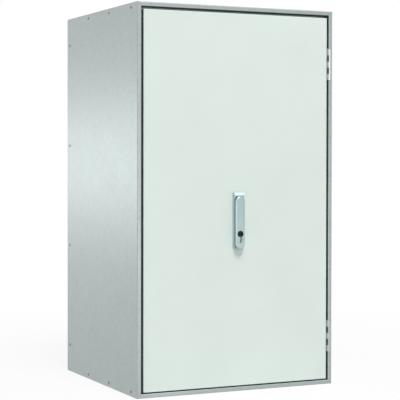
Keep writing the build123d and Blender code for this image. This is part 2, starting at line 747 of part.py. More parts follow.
def lever():
    """Swing lever with rounded ends, a shallow grip and the opening for the lock."""
    centre_low = SPINDLE_Z - (LEVER_LENGTH - LEVER_WIDTH)
    plan = Pos(0, (SPINDLE_Z + centre_low) / 2) * Rot(0, 0, 90) * SlotOverall(LEVER_LENGTH, LEVER_WIDTH)
    body = thicken(plan, LEVER_FACE, LEVER_BACK)
    body = fillet(body.edges().group_by(Axis.Y)[0], LEVER_EDGE)
    grip_r = LEVER_R - GRIP_MARGIN
    grip_plan = Pos(0, SPINDLE_Z - GRIP_LENGTH / 2) * Rectangle(2 * grip_r, GRIP_LENGTH)
    grip_plan += Pos(0, SPINDLE_Z) * Circle(grip_r)
    body -= thicken(grip_plan, LEVER_FACE, LEVER_FACE + GRIP_DEPTH)
    body -= thicken(lock_outline(LOCK_CLEARANCE), LEVER_FACE - 1, LEVER_BACK + 1)
    pin_hole = rod_x(LEVER_PIN_R, -LEVER_R, LEVER_R, LEVER_PIN_Y, LEVER_PIN_Z)
    return body - hub_pocket() - heel_relief() - pin_hole


def hub_pocket():
    """Room for the spindle's head inside the lever, clear at every lift."""
    half = HUB_HEAD_WIDTH / 2 + HUB_CLEARANCE
    reach = math.hypot(HUB_HEAD_R, LEVER_BACK - LEVER_PIN_Y) + HUB_CLEARANCE
    top = LEVER_PIN_Z + min(reach, LEVER_R - LEVER_PIN_RISE - 1)
    bottom = SPINDLE_Z - SPINDLE_R - HUB_CLEARANCE - 2
    front = LEVER_PIN_Y - HUB_HEAD_R - HUB_CLEARANCE
    return cuboid(-half, half, front, LEVER_BACK + 1, bottom, top)


def heel_relief():
    """What is cut from under the lever's top end, so that it swings clear of the base."""
    lift = math.radians(LEVER_LIFT)
    depth = LEVER_BACK - LEVER_PIN_Y
    reach = 2 * LEVER_R
    start = depth * (1 - math.cos(lift)) / math.sin(lift)
    end_depth = (depth - reach * math.sin(lift)) / math.cos(lift)
    points = [
        (LEVER_BACK, LEVER_PIN_Z + start),
        (LEVER_PIN_Y + end_depth, LEVER_PIN_Z + reach),
        (LEVER_BACK + 1, LEVER_PIN_Z + reach),
        (LEVER_BACK + 1, LEVER_PIN_Z + start),
    ]
    return extrude(Plane.YZ * make_face(Polyline(*points, close=True)), amount=LEVER_WIDTH, both=True)


def lever_pin():
    """Cross pin on which the lever lifts."""
    half = LEVER_PIN_LENGTH / 2
    return rod_x(LEVER_PIN_R, -half, half, LEVER_PIN_Y, LEVER_PIN_Z)


def spindle():
    """Spindle: a head for the cross pin, a round journal and a square end."""
    half = HUB_HEAD_WIDTH / 2
    head = rod_x(HUB_HEAD_R, -half, half, LEVER_PIN_Y, LEVER_PIN_Z)
    low = SPINDLE_Z - SPINDLE_R / 2
    head += cuboid(-half, half, LEVER_PIN_Y, LEVER_BACK, low, LEVER_PIN_Z + HUB_HEAD_R)
    head -= rod_x(LEVER_PIN_R + PIN_FIT, -half, half, LEVER_PIN_Y, LEVER_PIN_Z)
    journal = rod_y(SPINDLE_R, LEVER_BACK, BOSS_END, 0, SPINDLE_Z)
    end = CASE_END + CLIP_THICKNESS
    middle = (BOSS_END + end) / 2
    square = Pos(0, middle, SPINDLE_Z) * Box(SPINDLE_SQUARE, end - BOSS_END, SPINDLE_SQUARE)
    return head + journal + square


def lock_cylinder():
    """Half cylinder with its bore for the plug; the tail runs on behind the cam."""
    body = thicken(lock_outline(0), LOCK_FACE, LOCK_END)
    bridge_top = LOCK_Z + LOCK_HEAD_R - LOCK_HEIGHT + LOCK_BRIDGE
    bridge_bottom = LOCK_Z - LOCK_HEIGHT
    bridge = thicken(lock_outline(0), LOCK_END, LOCK_TAIL_END)
    bridge &= cuboid(-LOCK_HEAD_R, LOCK_HEAD_R, LOCK_END, LOCK_TAIL_END, bridge_bottom, bridge_top)
    body -= rod_y(LOCK_PLUG_R + PIN_FIT, LOCK_FACE - 1, LOCK_END + 1, 0, LOCK_Z)
    return body + bridge - cylinder_screw_shape(0)


def cylinder_plug():
    """Plug with its keyway, and the cam behind the cylinder."""
    plug = rod_y(LOCK_PLUG_R, LOCK_FACE, LOCK_END + LOCK_CAM_GAP, 0, LOCK_Z)
    plug -= cuboid(
        -KEYWAY_WIDTH / 2,
        KEYWAY_WIDTH / 2,
        LOCK_FACE - 1,
        LOCK_FACE + KEYWAY_DEPTH,
        LOCK_Z - KEYWAY_HEIGHT / 2,
        LOCK_Z + KEYWAY_HEIGHT / 2,
    )
    start = LOCK_END + LOCK_CAM_GAP
    end = LOCK_TAIL_END - LOCK_CAM_GAP
    cam = rod_y(LOCK_CAM_DISC_R, start, end, 0, LOCK_Z)
    half = LOCK_CAM_WIDTH / 2
    nose_end = LOCK_Z - LOCK_CAM_R + half
    cam += cuboid(-half, half, start, end, nose_end, LOCK_Z)
    cam += rod_y(half, start, end, 0, nose_end)
    return plug + cam


def clamp_bottom():
    """Lower edge of the handle's clamp."""
    return handle_screw_heights()[1] - CLAMP_SCREW_RISE


def handle_clamp():
    """Bracket behind the door: a plate round the lock's boss and a lug for the cylinder's screw."""
    low = clamp_bottom()
    section = bent_sheet(
        [(DOOR_INNER, low + CLAMP_HEIGHT), (DOOR_INNER, low), (LOCK_TAIL_END, low)], CLAMP_SHEET
    )
    bracket = extrude(Plane.YZ * section, amount=CLAMP_WIDTH / 2, both=True)
    boss = thicken(lock_boss(BOSS_CLEARANCE), DOOR_INNER - 1, DOOR_INNER + CLAMP_SHEET + 1)
    trim_y = DOOR_INNER + CLAMP_SHEET + BEND
    for side in (-1, 1):
        trim = cuboid(
            side * CLAMP_LUG_WIDTH / 2,
            side * CLAMP_WIDTH,
            trim_y,
            LOCK_TAIL_END + 1,
            low - 1,
            low + CLAMP_SHEET + 1,
        )
        bracket -= trim
    bracket -= rod_y(SCREW_R + BOLT_HOLE_CLEARANCE, DOOR_INNER - 1, trim_y, 0, handle_screw_heights()[1])
    return bracket - boss - cylinder_screw_shape(BOLT_HOLE_CLEARANCE)


def cylinder_screw_shape(grow):
    """Shank of the screw that holds the cylinder, from the clamp's lug into the tail."""
    y = (LOCK_END + LOCK_TAIL_END) / 2
    tip = LOCK_Z + LOCK_HEAD_R - LOCK_HEIGHT + LOCK_BRIDGE - 1
    return rod_z(SCREW_R + grow, clamp_bottom() - 1, tip, 0, y)


def cylinder_screw():
    """Screw of the lock cylinder."""
    y = (LOCK_END + LOCK_TAIL_END) / 2
    low = clamp_bottom()
    head = rod_z(SCREW_HEAD_R, low - SCREW_HEAD_H, low, 0, y)
    return head + cylinder_screw_shape(0)


def handle_screws():
    """Two screws from inside into the handle's base."""
    upper, lower = handle_screw_heights()
    tip = FRONT - SCREW_DEPTH
    screws = []
    for z, seat in ((upper, CASE_FLOOR), (lower, DOOR_INNER + CLAMP_SHEET)):
        shank = rod_y(SCREW_R, tip, seat, 0, z)
        screws.append(shank + rod_y(SCREW_HEAD_R, seat, seat + SCREW_HEAD_H, 0, z))
    return group(screws)


# Rod lock


def gear_point(radius, side, tooth):
    """Point on one flank of a tooth, from the involute of the base circle."""
    alpha = math.radians(PRESSURE_ANGLE)
    base_r = PITCH_R * math.cos(alpha)
    here = math.acos(min(1.0, base_r / radius))
    thickness = TOOTH_PITCH / 2 - GEAR_BACKLASH / 2
    half = thickness / (2 * PITCH_R) + (math.tan(alpha) - alpha) - (math.tan(here) - here)
    turn = 2 * math.pi * tooth / GEAR_TEETH + side * half
    return radius * math.cos(turn), radius * math.sin(turn)


def drive_pinion():
    """Pinion on the spindle's square, with a boss to the spindle and one in the cover."""
    base_r = PITCH_R * math.cos(math.radians(PRESSURE_ANGLE))
    radii = [base_r + (TIP_R - base_r) * n / FLANK_STEPS for n in range(FLANK_STEPS + 1)]
    points = []
    for tooth in range(GEAR_TEETH):
        low_side = [gear_point(radius, -1, tooth) for radius in radii]
        high_side = [gear_point(radius, 1, tooth) for radius in reversed(radii)]
        start = Vector(*low_side[0]).normalized() * ROOT_R
        end = Vector(*high_side[-1]).normalized() * ROOT_R
        points += [(start.X, start.Y), *low_side, *high_side, (end.X, end.Y)]
    wheel = thicken(Pos(0, SPINDLE_Z) * make_face(Polyline(*points, close=True)), ROD_FRONT, ROD_BACK)
    wheel += rod_y(PINION_BOSS_R, BOSS_END, ROD_FRONT, 0, SPINDLE_Z)
    wheel += rod_y(PINION_END_R, ROD_BACK, CASE_END, 0, SPINDLE_Z)
    middle = (BOSS_END + CASE_END) / 2
    return wheel - Pos(0, middle, SPINDLE_Z) * Box(SPINDLE_SQUARE, CASE_END - BOSS_END, SPINDLE_SQUARE)


def pinion_clip():
    """Retaining washer on the spindle's end."""
    clip = rod_y(CLIP_R, CASE_END, CASE_END + CLIP_THICKNESS, 0, SPINDLE_Z)
    middle = CASE_END + CLIP_THICKNESS / 2
    return clip - Pos(0, middle, SPINDLE_Z) * Box(SPINDLE_SQUARE, CLIP_THICKNESS, SPINDLE_SQUARE)


def rack_rod(length, phase):
    """Flat rod at the left of the pinion that runs upwards, with rack teeth towards the pinion."""
    half_pitch_line = TOOTH_PITCH / 4 - GEAR_BACKLASH / 4
    lean = math.tan(math.radians(PRESSURE_ANGLE))
    root_half = half_pitch_line + 1.25 * GEAR_MODULE * lean
    tip_half = half_pitch_line - GEAR_MODULE * lean
    bottom = -(RACK_TEETH_BEHIND + 0.5) * TOOTH_PITCH - RACK_TAIL
    points = [(-ROD_OUTER_X, bottom), (-ROD_INNER_X, bottom)]
    for number in range(-RACK_TEETH_BEHIND, RACK_TEETH_AHEAD + 1):
        middle = (number + phase) * TOOTH_PITCH
        points += [
            (-ROD_INNER_X, middle - root_half),
            (-PITCH_R + GEAR_MODULE, middle - tip_half),
            (-PITCH_R + GEAR_MODULE, middle + tip_half),
            (-ROD_INNER_X, middle + root_half),
        ]
    points += [(-ROD_INNER_X, length), (-ROD_OUTER_X, length)]
    return Pos(0, 0, SPINDLE_Z) * thicken(make_face(Polyline(*points, close=True)), ROD_FRONT, ROD_BACK)


def half_turn(shape):
    """The shape turned by half a turn about the spindle's axis."""
    return Pos(0, 0, SPINDLE_Z) * Rot(0, 180, 0) * Pos(0, 0, -SPINDLE_Z) * shape


def upper_rod():
    """Rod that reaches behind the frame above the door."""
    return rack_rod(ROD_TOP - SPINDLE_Z, 0.0)


def lower_rod():
    """Rod that reaches behind the frame below the door."""
    phase = 0.5 if GEAR_TEETH % 2 else 0.0
    return half_turn(rack_rod(SPINDLE_Z - ROD_BOTTOM, -phase))


def case_screw_places():
    """Places of the four screws of the gear case."""
    return [(i * CASE_SCREW_X, SPINDLE_Z + j * CASE_SCREW_Z) for i in (-1, 1) for j in (-1, 1)]


def rod_gear_case():
    """Cast case on the door's inner face, hollow in front, with channels for the two rods."""
    low = SPINDLE_Z - CASE_HALF_HEIGHT
    high = SPINDLE_Z + CASE_HALF_HEIGHT
    case = cuboid(-CASE_HALF_WIDTH, CASE_HALF_WIDTH, DOOR_INNER, CASE_TOP, low, high)
    case -= cuboid(
        -CASE_HALF_WIDTH + CASE_WALL,
        CASE_HALF_WIDTH - CASE_WALL,
        DOOR_INNER,
        CASE_FLOOR - CASE_WALL,
        low + CASE_WALL,
        high - CASE_WALL,
    )
    channel = ROD_OUTER_X + ROD_CLEARANCE
    case -= cuboid(-channel, channel, CASE_FLOOR, CASE_TOP, low, high)
    posts = [(x, z, CASE_POST_R) for x, z in case_screw_places()]
    posts.append((0, SPINDLE_Z - HANDLE_SCREW_DROP, SCREW_HEAD_R + 1))
    for x, z, radius in posts:
        case += rod_y(radius, DOOR_INNER, CASE_FLOOR - CASE_WALL, x, z)
    case += rod_y(SPINDLE_BOSS_R + CASE_WALL, DOOR_INNER, CASE_FLOOR - CASE_WALL, 0, SPINDLE_Z)
    case -= rod_y(SPINDLE_BOSS_R + BOSS_CLEARANCE, DOOR_INNER, BOSS_END, 0, SPINDLE_Z)
    case -= rod_y(PINION_BOSS_R + BOSS_CLEARANCE, DOOR_INNER, CASE_FLOOR, 0, SPINDLE_Z)
    case -= rod_y(SCREW_R + BOLT_HOLE_CLEARANCE, DOOR_INNER, CASE_FLOOR, 0, SPINDLE_Z - HANDLE_SCREW_DROP)
    tip = CASE_END - CASE_SCREW_LENGTH
    return case - [rod_y(CASE_SCREW_R, tip, CASE_TOP, x, z) for x, z in case_screw_places()]


def rod_gear_cover():
    """Cover of the gear case, with the bearing of the pinion's end."""
    low = SPINDLE_Z - CASE_HALF_HEIGHT
    high = SPINDLE_Z + CASE_HALF_HEIGHT
    cover = cuboid(-CASE_HALF_WIDTH, CASE_HALF_WIDTH, CASE_TOP, CASE_END, low, high)
    cover -= rod_y(PINION_END_R + SPINDLE_FIT, CASE_TOP, CASE_END, 0, SPINDLE_Z)
    return cover - [rod_y(CASE_SCREW_R, CASE_TOP, CASE_END, x, z) for x, z in case_screw_places()]


def rod_gear_screws():
    """Screws of the gear case's cover."""
    screws = []
    for x, z in case_screw_places():
        shank = rod_y(CASE_SCREW_R, CASE_END - CASE_SCREW_LENGTH, CASE_END, x, z)
        head = rod_y(CASE_SCREW_HEAD_R, CASE_END, CASE_END + CASE_SCREW_HEAD_H, x, z)
        screws.append(shank + head)
    return group(screws)


def lip_guide():
    """Plastic guide of the upper rod, on the door's top lip."""
    top = HEIGHT - LAND_EDGE - ROD_END_GAP / 2
    low = top - ROD_GUIDE_HEIGHT
    half = ROD_WIDTH / 2 + ROD_CLEARANCE + ROD_GUIDE_WALL
    block = cuboid(-ROD_X - half, -ROD_X + half, DOOR_BACK, CASE_END, low, top)
    slot = ROD_WIDTH / 2 + ROD_CLEARANCE
    return block - cuboid(-ROD_X - slot, -ROD_X + slot, CASE_FLOOR, CASE_TOP, low - 1, top + 1)


def rod_strap():
    """Folded strap that guides a rod half-way, welded inside the door."""
    half = ROD_WIDTH / 2 + ROD_CLEARANCE
    section = bent_sheet(
        [
            (-ROD_X - half - ROD_STRAP_FOOT, DOOR_INNER),
            (-ROD_X - half, DOOR_INNER),
            (-ROD_X - half, CASE_TOP),
            (-ROD_X + half, CASE_TOP),
            (-ROD_X + half, DOOR_INNER),
            (-ROD_X + half + ROD_STRAP_FOOT, DOOR_INNER),
        ],
        DOOR_SHEET,
    )
    return Pos(0, 0, -ROD_STRAP_WIDTH / 2) * extrude(section, amount=ROD_STRAP_WIDTH)


def rod_straps_upper():
    """Strap of the upper rod."""
    low = SPINDLE_Z + CASE_HALF_HEIGHT
    return Pos(0, 0, low + (ROD_TOP - low) * ROD_STRAP_SHARE) * rod_strap()


def rod_straps_lower():
    """Strap of the lower rod."""
    high = SPINDLE_Z - CASE_HALF_HEIGHT
    turned = Rot(0, 180, 0) * rod_strap()
    return Pos(0, 0, high - (high - ROD_BOTTOM) * ROD_STRAP_SHARE) * turned


def lower_lip_guide():
    """Plastic guide of the lower rod, on the door's bottom lip."""
    return Pos(0, 0, HEIGHT) * Rot(0, 180, 0) * lip_guide()


def left(shape):
    """Mirror image of a right-hand piece."""
    return mirror(shape, about=Plane.YZ)


def build():
    """Every piece by its name."""
    right_panel = side_panel()
    right_rivets = rivets()
    pieces = {
        "left_side_panel": left(right_panel),
        "right_side_panel": right_panel,
        "roof_panel": roof_panel(),
        "floor_panel": floor_panel(),
        "rear_panel": rear_panel(),
        "left_side_rivets": group(left(rivet) for rivet in right_rivets.solids()),
        "right_side_rivets": right_rivets,
        "gland_plate": gland_plate(),
        "gland_plate_seal": gland_plate_seal(),
        "gland_plate_studs": gland_plate_studs(),
        "gland_plate_nuts": gland_plate_nuts(),
        "mounting_plate": mounting_plate(),
        "mounting_plate_studs": mounting_plate_studs(),
        "mounting_plate_nuts": mounting_plate_nuts(),
        "earth_stud": earth_stud(),
        "earth_nut": earth_nut(),
        "door_panel": door_panel(),
        "door_stiffeners": door_stiffeners(),
        "door_gasket": door_gasket(),
        "door_earth_stud": door_earth_stud(),
        "door_earth_nut": door_earth_nut(),
        "handle_base": handle_base(),
        "handle_clamp": handle_clamp(),
        "handle_screws": handle_screws(),
        "lock_cylinder": lock_cylinder(),
        "cylinder_screw": cylinder_screw(),
        "cylinder_plug": cylinder_plug(),
        "spindle": spindle(),
        "drive_pinion": drive_pinion(),
        "pinion_clip": pinion_clip(),
        "handle_lever": lever(),
        "lever_pin": lever_pin(),
        "rod_gear_case": rod_gear_case(),
        "rod_gear_cover": rod_gear_cover(),
        "rod_gear_screws": rod_gear_screws(),
        "upper_rod": upper_rod(),
        "lower_rod": lower_rod(),
        "upper_rod_strap": rod_straps_upper(),
        "lower_rod_strap": rod_straps_lower(),
        "upper_lip_guide": lip_guide(),
        "lower_lip_guide": lower_lip_guide(),
    }
    for name, bottom in (("upper", UPPER_HINGE_Z), ("lower", LOWER_HINGE_Z)):
        pieces[name + "_hinge_frame_leaf"] = hinge_frame_leaf(bottom)
        pieces[name + "_hinge_door_leaf"] = hinge_door_leaf(bottom)
        pieces[name + "_hinge_pin"] = hinge_pin(bottom)
    return pieces


os.makedirs("parts", exist_ok=True)
for piece_name, piece in build().items():
    export_step(piece, os.path.join("parts", piece_name + ".step"))
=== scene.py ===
import json
import math

import bmesh
import bpy
import numpy as np
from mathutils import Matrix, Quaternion, Vector


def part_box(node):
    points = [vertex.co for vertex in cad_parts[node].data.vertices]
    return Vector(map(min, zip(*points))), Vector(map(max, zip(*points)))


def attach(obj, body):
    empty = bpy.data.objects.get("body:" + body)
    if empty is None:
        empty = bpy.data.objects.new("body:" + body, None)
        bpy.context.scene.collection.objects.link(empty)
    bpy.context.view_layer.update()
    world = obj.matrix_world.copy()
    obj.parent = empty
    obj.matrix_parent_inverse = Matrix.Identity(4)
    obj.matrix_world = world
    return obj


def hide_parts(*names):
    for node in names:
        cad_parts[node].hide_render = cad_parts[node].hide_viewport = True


# Looks of the roadside utility cabinet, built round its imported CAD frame.
# Lengths are metres, and sizes written in millimetres are multiplied by MM.
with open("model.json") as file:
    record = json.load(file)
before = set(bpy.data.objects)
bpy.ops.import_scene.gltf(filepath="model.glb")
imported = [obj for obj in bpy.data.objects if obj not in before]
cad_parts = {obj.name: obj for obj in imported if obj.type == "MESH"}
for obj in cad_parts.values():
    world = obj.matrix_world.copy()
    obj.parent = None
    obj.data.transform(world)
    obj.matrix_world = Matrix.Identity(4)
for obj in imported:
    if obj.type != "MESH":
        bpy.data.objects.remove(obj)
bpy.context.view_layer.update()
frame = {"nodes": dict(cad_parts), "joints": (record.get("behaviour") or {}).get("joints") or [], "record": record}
nodes = frame["nodes"]
axis_of = {joint["name"]: joint["pos_m"] for joint in frame["joints"] if "pos_m" in joint}

MM = 0.001

# The photograph's frame and its camera
PHOTO_PIXELS = 400
FOCAL_PIXELS = 1350.9
AXIS_PIXELS_UP = 20.0  # the optical axis lies this far above the picture's middle
CAMERA_PLACE = (-1.68, -3.5961, 0.6443)
CAMERA_TURN = math.radians(25.219)
CAMERA_TILT = math.radians(-0.948)
CAMERA_ROLL = math.radians(0.08)
SENSOR = 36.0  # in millimetres, as Blender counts it

# Light of the studio
AMBIENT = 0.17
FLOOR_HALF = 6.0
FLOOR_SHARE_OF_WHITE = 0.9  # at the cabinet's foot
FLOOR_NEAR = 0.4  # from here on the share rises
FLOOR_FAR = 2.0  # and from here on it is the whole

# Tones, gloss, and painted shade in the door gap, the lever's seam, the knuckles and the keyhole
MIDDLE = {"From Min": 0.3, "From Max": 0.7}  # the part of its range that a noise mostly fills
METAL_UNEVEN = 0.04  # how far a metal's roughness strays from its middle
PLASTIC_UNEVEN = 0.05
SPANGLE_SHARE = 0.3
DOOR_GAP = 6 * MM
DOOR_BEND = 1.5 * MM
EDGE_FADE = 0.5 * MM  # over this depth the door's plain face turns to its edge with painted gap shade
GAP_SHADE_FADE = 3 * MM  # over this depth the painted gap shade sets in
LEVER_SEAM = 3 * MM
SEAM_SPILL = 0.2 * MM  # how far the painted seam shade reaches past the lever's back
SEAM_FADE = 0.15 * MM
KNUCKLE_SHADE_EDGE = (3.0 * MM, 3.4 * MM)  # distances from the hinges' axis where the painted barrel shade thins out
KEYHOLE_SHADE_EDGE = (8.4 * MM, 8.8 * MM)  # and from the keyhole where the painted keyhole shade does

# Surfaces, and fasteners that the CAD leaves plain
ROUND = 48  # points round a turned piece, a multiple of six for its hexagons
MERGE = 0.001 * MM
SHARP_EDGE = math.radians(40)
SOLID_REACH = 20 * MM  # a fastener is no wider than this, and its neighbours are further off
RIVET_HEAD = 1.2 * MM
NUT_CONE = math.radians(30)
NUT_FACE = 0.97  # radius of a nut's flat end over half its width across flats
BORE_LEAD = 0.5 * MM  # countersink of a nut's bore
M6_PITCH = 1.0 * MM
M8_PITCH = 1.25 * MM
M8_RADIUS = 4.0 * MM
THREAD_DEPTH = 0.6  # over its pitch
THREAD_ROWS = 6  # rows of points in one turn of a thread
HEAD_ROUNDING = 0.6 * MM
SOCKET_DEPTH = 0.6  # over the head's height
SOCKET_LEAD = 0.15 * MM

# Welds
STITCH = 25 * MM
STITCHES = 7
STITCH_INSET = 45 * MM
RIPPLE = 2.2 * MM  # from one scale of a weld bead to the next
RIPPLE_SWELL = 0.07
BEAD_ROWS = 8  # rows of points in one scale of a bead
BEAD_POINTS = 16  # points round a bead
BEAD_TAPER = 10  # the larger this power, the blunter the bead's ends
MITRE_START = 14 * MM  # from the door's corner, clear of the seal
MITRE_END = 34 * MM
LEAF_INSET = 3 * MM  # from a hinge leaf's ends to its bead
FLASH = 0.9 * MM  # radius of the weld flash round a stud
FLASH_RIPPLES = 11
FLASH_SWELL = 0.12
FLASH_POINTS = 12

# Foamed seal
GASKET_WIDTH = 10 * MM
GASKET_BEND = 7 * MM  # radius of its middle line at the corners
SEAL_STEPS = 640  # sections round the door
DOME_POINTS = 17
FOOT_POINTS = 5
DOME_POWER = 2.6  # 2 would make the section an ellipse, and more makes it fuller
FOAM_RISE = 0.96  # mean height over the CAD gasket's
FOAM_WAVES = ((0.015, 37, 0), (0.012, 83, 1), (0.012, 151, 2))  # height, number round, shift


# Colours and nodes


def linear(code):
    """Linear colour of an sRGB hex code such as "b7babb", by the sRGB curve of each channel."""
    parts = [int(code[i : i + 2], 16) / 255 for i in (0, 2, 4)]
    return [p / 12.92 if p <= 0.04045 else ((p + 0.055) / 1.055) ** 2.4 for p in parts] + [1.0]


def add(tree, kind, inputs=None, **settings):
    """Adds one node: settings are its properties, and an input is a value, an output or a node.

    A node that is given as an input stands for its first output in use.
    """
    made = tree.nodes.new(kind)
    for name, value in settings.items():
        setattr(made, name, value)
    for key, value in (inputs or {}).items():
        if isinstance(value, bpy.types.Node):
            value = next(output for output in value.outputs if output.enabled)
        if isinstance(value, bpy.types.NodeSocket):
            tree.links.new(value, made.inputs[key])
        else:
            made.inputs[key].default_value = value
    return made


def per(size):
    """Pattern scale whose features are about size millimetres across."""
    return 1 / (size * MM)


def blank(name):
    """A material with no nodes, its tree, and the object coordinates in that tree."""
    made = bpy.data.materials.new(name)
    made.use_nodes = True
    made.node_tree.nodes.clear()
    return made, made.node_tree, add(made.node_tree, "ShaderNodeTexCoord").outputs["Object"]


def tones(tree, pattern, dark, light):
    """Colour between two hex codes as a pattern goes through the middle of its range."""
    share = add(tree, "ShaderNodeMapRange", {"Value": pattern, **MIDDLE})
    colours = {0: share, 6: linear(dark), 7: linear(light)}
    return add(tree, "ShaderNodeMix", colours, data_type="RGBA")


def relief(tree, place, size, depth, stretch=(1, 1, 1)):
    """Normal of a noise relief: its size and depth in millimetres, and a stretch for a grain."""
    drawn = add(tree, "ShaderNodeMapping", {"Vector": place, "Scale": stretch})
    noise = add(tree, "ShaderNodeTexNoise", {"Vector": drawn, "Scale": per(size), "Detail": 3.0})
    bump = {"Height": noise.outputs["Fac"], "Distance": depth * MM, "Strength": 0.6}
    return add(tree, "ShaderNodeBump", bump)


def distance(tree, place, centre, along):
    """Distance in metres from a centre, counted only along the axes marked with 1."""
    offset = add(tree, "ShaderNodeVectorMath", {0: place, 1: centre}, operation="SUBTRACT")
    flat = add(tree, "ShaderNodeVectorMath", {0: offset, 1: along}, operation="MULTIPLY")
    return add(tree, "ShaderNodeVectorMath", {0: flat}, operation="LENGTH").outputs["Value"]


def outside(tree, place, low, high):
    """Metres by which a point lies outside a box, below 0 within it: the most over the axes."""
    low, high = Vector(low), Vector(high)
    middle, half = (low + high) / 2, (high - low) / 2
    offset = add(tree, "ShaderNodeVectorMath", {0: place, 1: middle}, operation="SUBTRACT")
    offset = add(tree, "ShaderNodeVectorMath", {0: offset}, operation="ABSOLUTE")
    offset = add(tree, "ShaderNodeVectorMath", {0: offset, 1: half}, operation="SUBTRACT")
    x, y, z = add(tree, "ShaderNodeSeparateXYZ", {"Vector": offset}).outputs
    wider = add(tree, "ShaderNodeMath", {0: x, 1: z}, operation="MAXIMUM")
    return add(tree, "ShaderNodeMath", {0: wider, 1: y}, operation="MAXIMUM")


def shade(made, tree, inputs):
    """Ends a material in one Principled shader with those inputs."""
    shader = add(tree, "ShaderNodeBsdfPrincipled", inputs)
    add(tree, "ShaderNodeOutputMaterial", {"Surface": shader})
    return made


# Finishes


def coated_sheet():
    """Aluminium-zinc coated steel, rolled and skin-passed: satin, faint spangle, vertical grain.

    The channel that the closed door stands in is painted darker, as painted shade in the door gap, but not on the
    hinged side.
    """
    made, tree, place = blank("aluminium_zinc_coated_sheet")
    cloud = add(tree, "ShaderNodeTexNoise", {
        "Vector": place, "Scale": per(90), "Detail": 4.0, "Roughness": 0.55,
    })
    spangle = add(tree, "ShaderNodeTexVoronoi", {"Vector": place, "Scale": per(7)})
    unshaded = {
        0: SPANGLE_SHARE,
        6: tones(tree, cloud, "a2acab", "a7b1b0"),
        7: tones(tree, spangle.outputs["Color"], "9da7a6", "adb7b6"),
    }
    # painted shade: within the channel round the door the sheet darkens towards 6a706f, as the door gap's shade
    low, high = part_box("door_panel")
    margin = DOOR_GAP + GAP_SHADE_FADE
    channel_low = (low[0] - margin, low[1] + MM, low[2] - margin)
    channel_high = (high[0], high[1] + margin, high[2] + margin)
    gap_shade = add(tree, "ShaderNodeMapRange", {
        "Value": outside(tree, place, channel_low, channel_high),
        "From Min": -GAP_SHADE_FADE, "From Max": 0.0, "To Min": 1.0, "To Max": 0.0,
    })
    shade_mix = {
        0: gap_shade,
        6: add(tree, "ShaderNodeMix", unshaded, data_type="RGBA"),
        7: linear("6a706f"),
    }
    gloss = {"Value": cloud, **MIDDLE, "To Min": 0.38, "To Max": 0.41}
    return shade(made, tree, {
        "Base Color": add(tree, "ShaderNodeMix", shade_mix, data_type="RGBA"),
        "Metallic": 1.0,
        "Roughness": add(tree, "ShaderNodeMapRange", gloss),
        "Normal": relief(tree, place, 1.6, 0.03, (1, 1, 0.04)),
    })


def powder_coat():
    """Polyester powder coat on steel: pale grey-green, satin, with a fine orange-peel.

    The door's folded edge, behind its bend, is painted darker as shade in the door gap, but not on the hinged
    side.
    """
    made, tree, place = blank("powder_coated_door_steel")
    cloud = add(tree, "ShaderNodeTexNoise", {"Vector": place, "Scale": per(160), "Detail": 3.0})
    # painted shade: the door's edges behind the bend darken towards 7d8380, as the door gap's shade
    low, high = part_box("door_panel")
    face_low = (low[0] + MM, -1.0, low[2] + MM)
    face_high = (high[0] + MM, 1.0, high[2] - MM)
    edge = add(tree, "ShaderNodeMapRange", {
        "Value": outside(tree, place, face_low, face_high), "From Max": EDGE_FADE,
    })
    bend = low[1] + DOOR_BEND
    behind = add(tree, "ShaderNodeMapRange", {
        "Value": add(tree, "ShaderNodeSeparateXYZ", {"Vector": place}).outputs["Y"],
        "From Min": bend, "From Max": bend + GAP_SHADE_FADE,
    })
    shade_mix = {
        0: add(tree, "ShaderNodeMath", {0: edge, 1: behind}, operation="MULTIPLY"),
        6: tones(tree, cloud, "d8e4dd", "dce7e1"),
        7: linear("7d8380"),
    }
    gloss = {"Value": cloud, **MIDDLE, "To Min": 0.37, "To Max": 0.43}
    return shade(made, tree, {
        "Base Color": add(tree, "ShaderNodeMix", shade_mix, data_type="RGBA"),
        "Roughness": add(tree, "ShaderNodeMapRange", gloss),
        "IOR": 1.5,
        "Normal": relief(tree, place, 2.2, 0.02),
    })


def metal(name, dark, light, blotch, roughness, grain, depth, stretch=(1, 1, 1)):
    """A bare or plated metal: two close tones in blotches, and a grain, sized in millimetres."""
    made, tree, place = blank(name)
    cloud = add(tree, "ShaderNodeTexNoise", {"Vector": place, "Scale": per(blotch), "Detail": 3.0})
    gloss = {"Value": cloud, **MIDDLE}
    gloss.update({"To Min": roughness - METAL_UNEVEN, "To Max": roughness + METAL_UNEVEN})
    return shade(made, tree, {
        "Base Color": tones(tree, cloud, dark, light),
        "Metallic": 1.0,
        "Roughness": add(tree, "ShaderNodeMapRange", gloss),
        "Normal": relief(tree, place, grain, depth, stretch),
    })


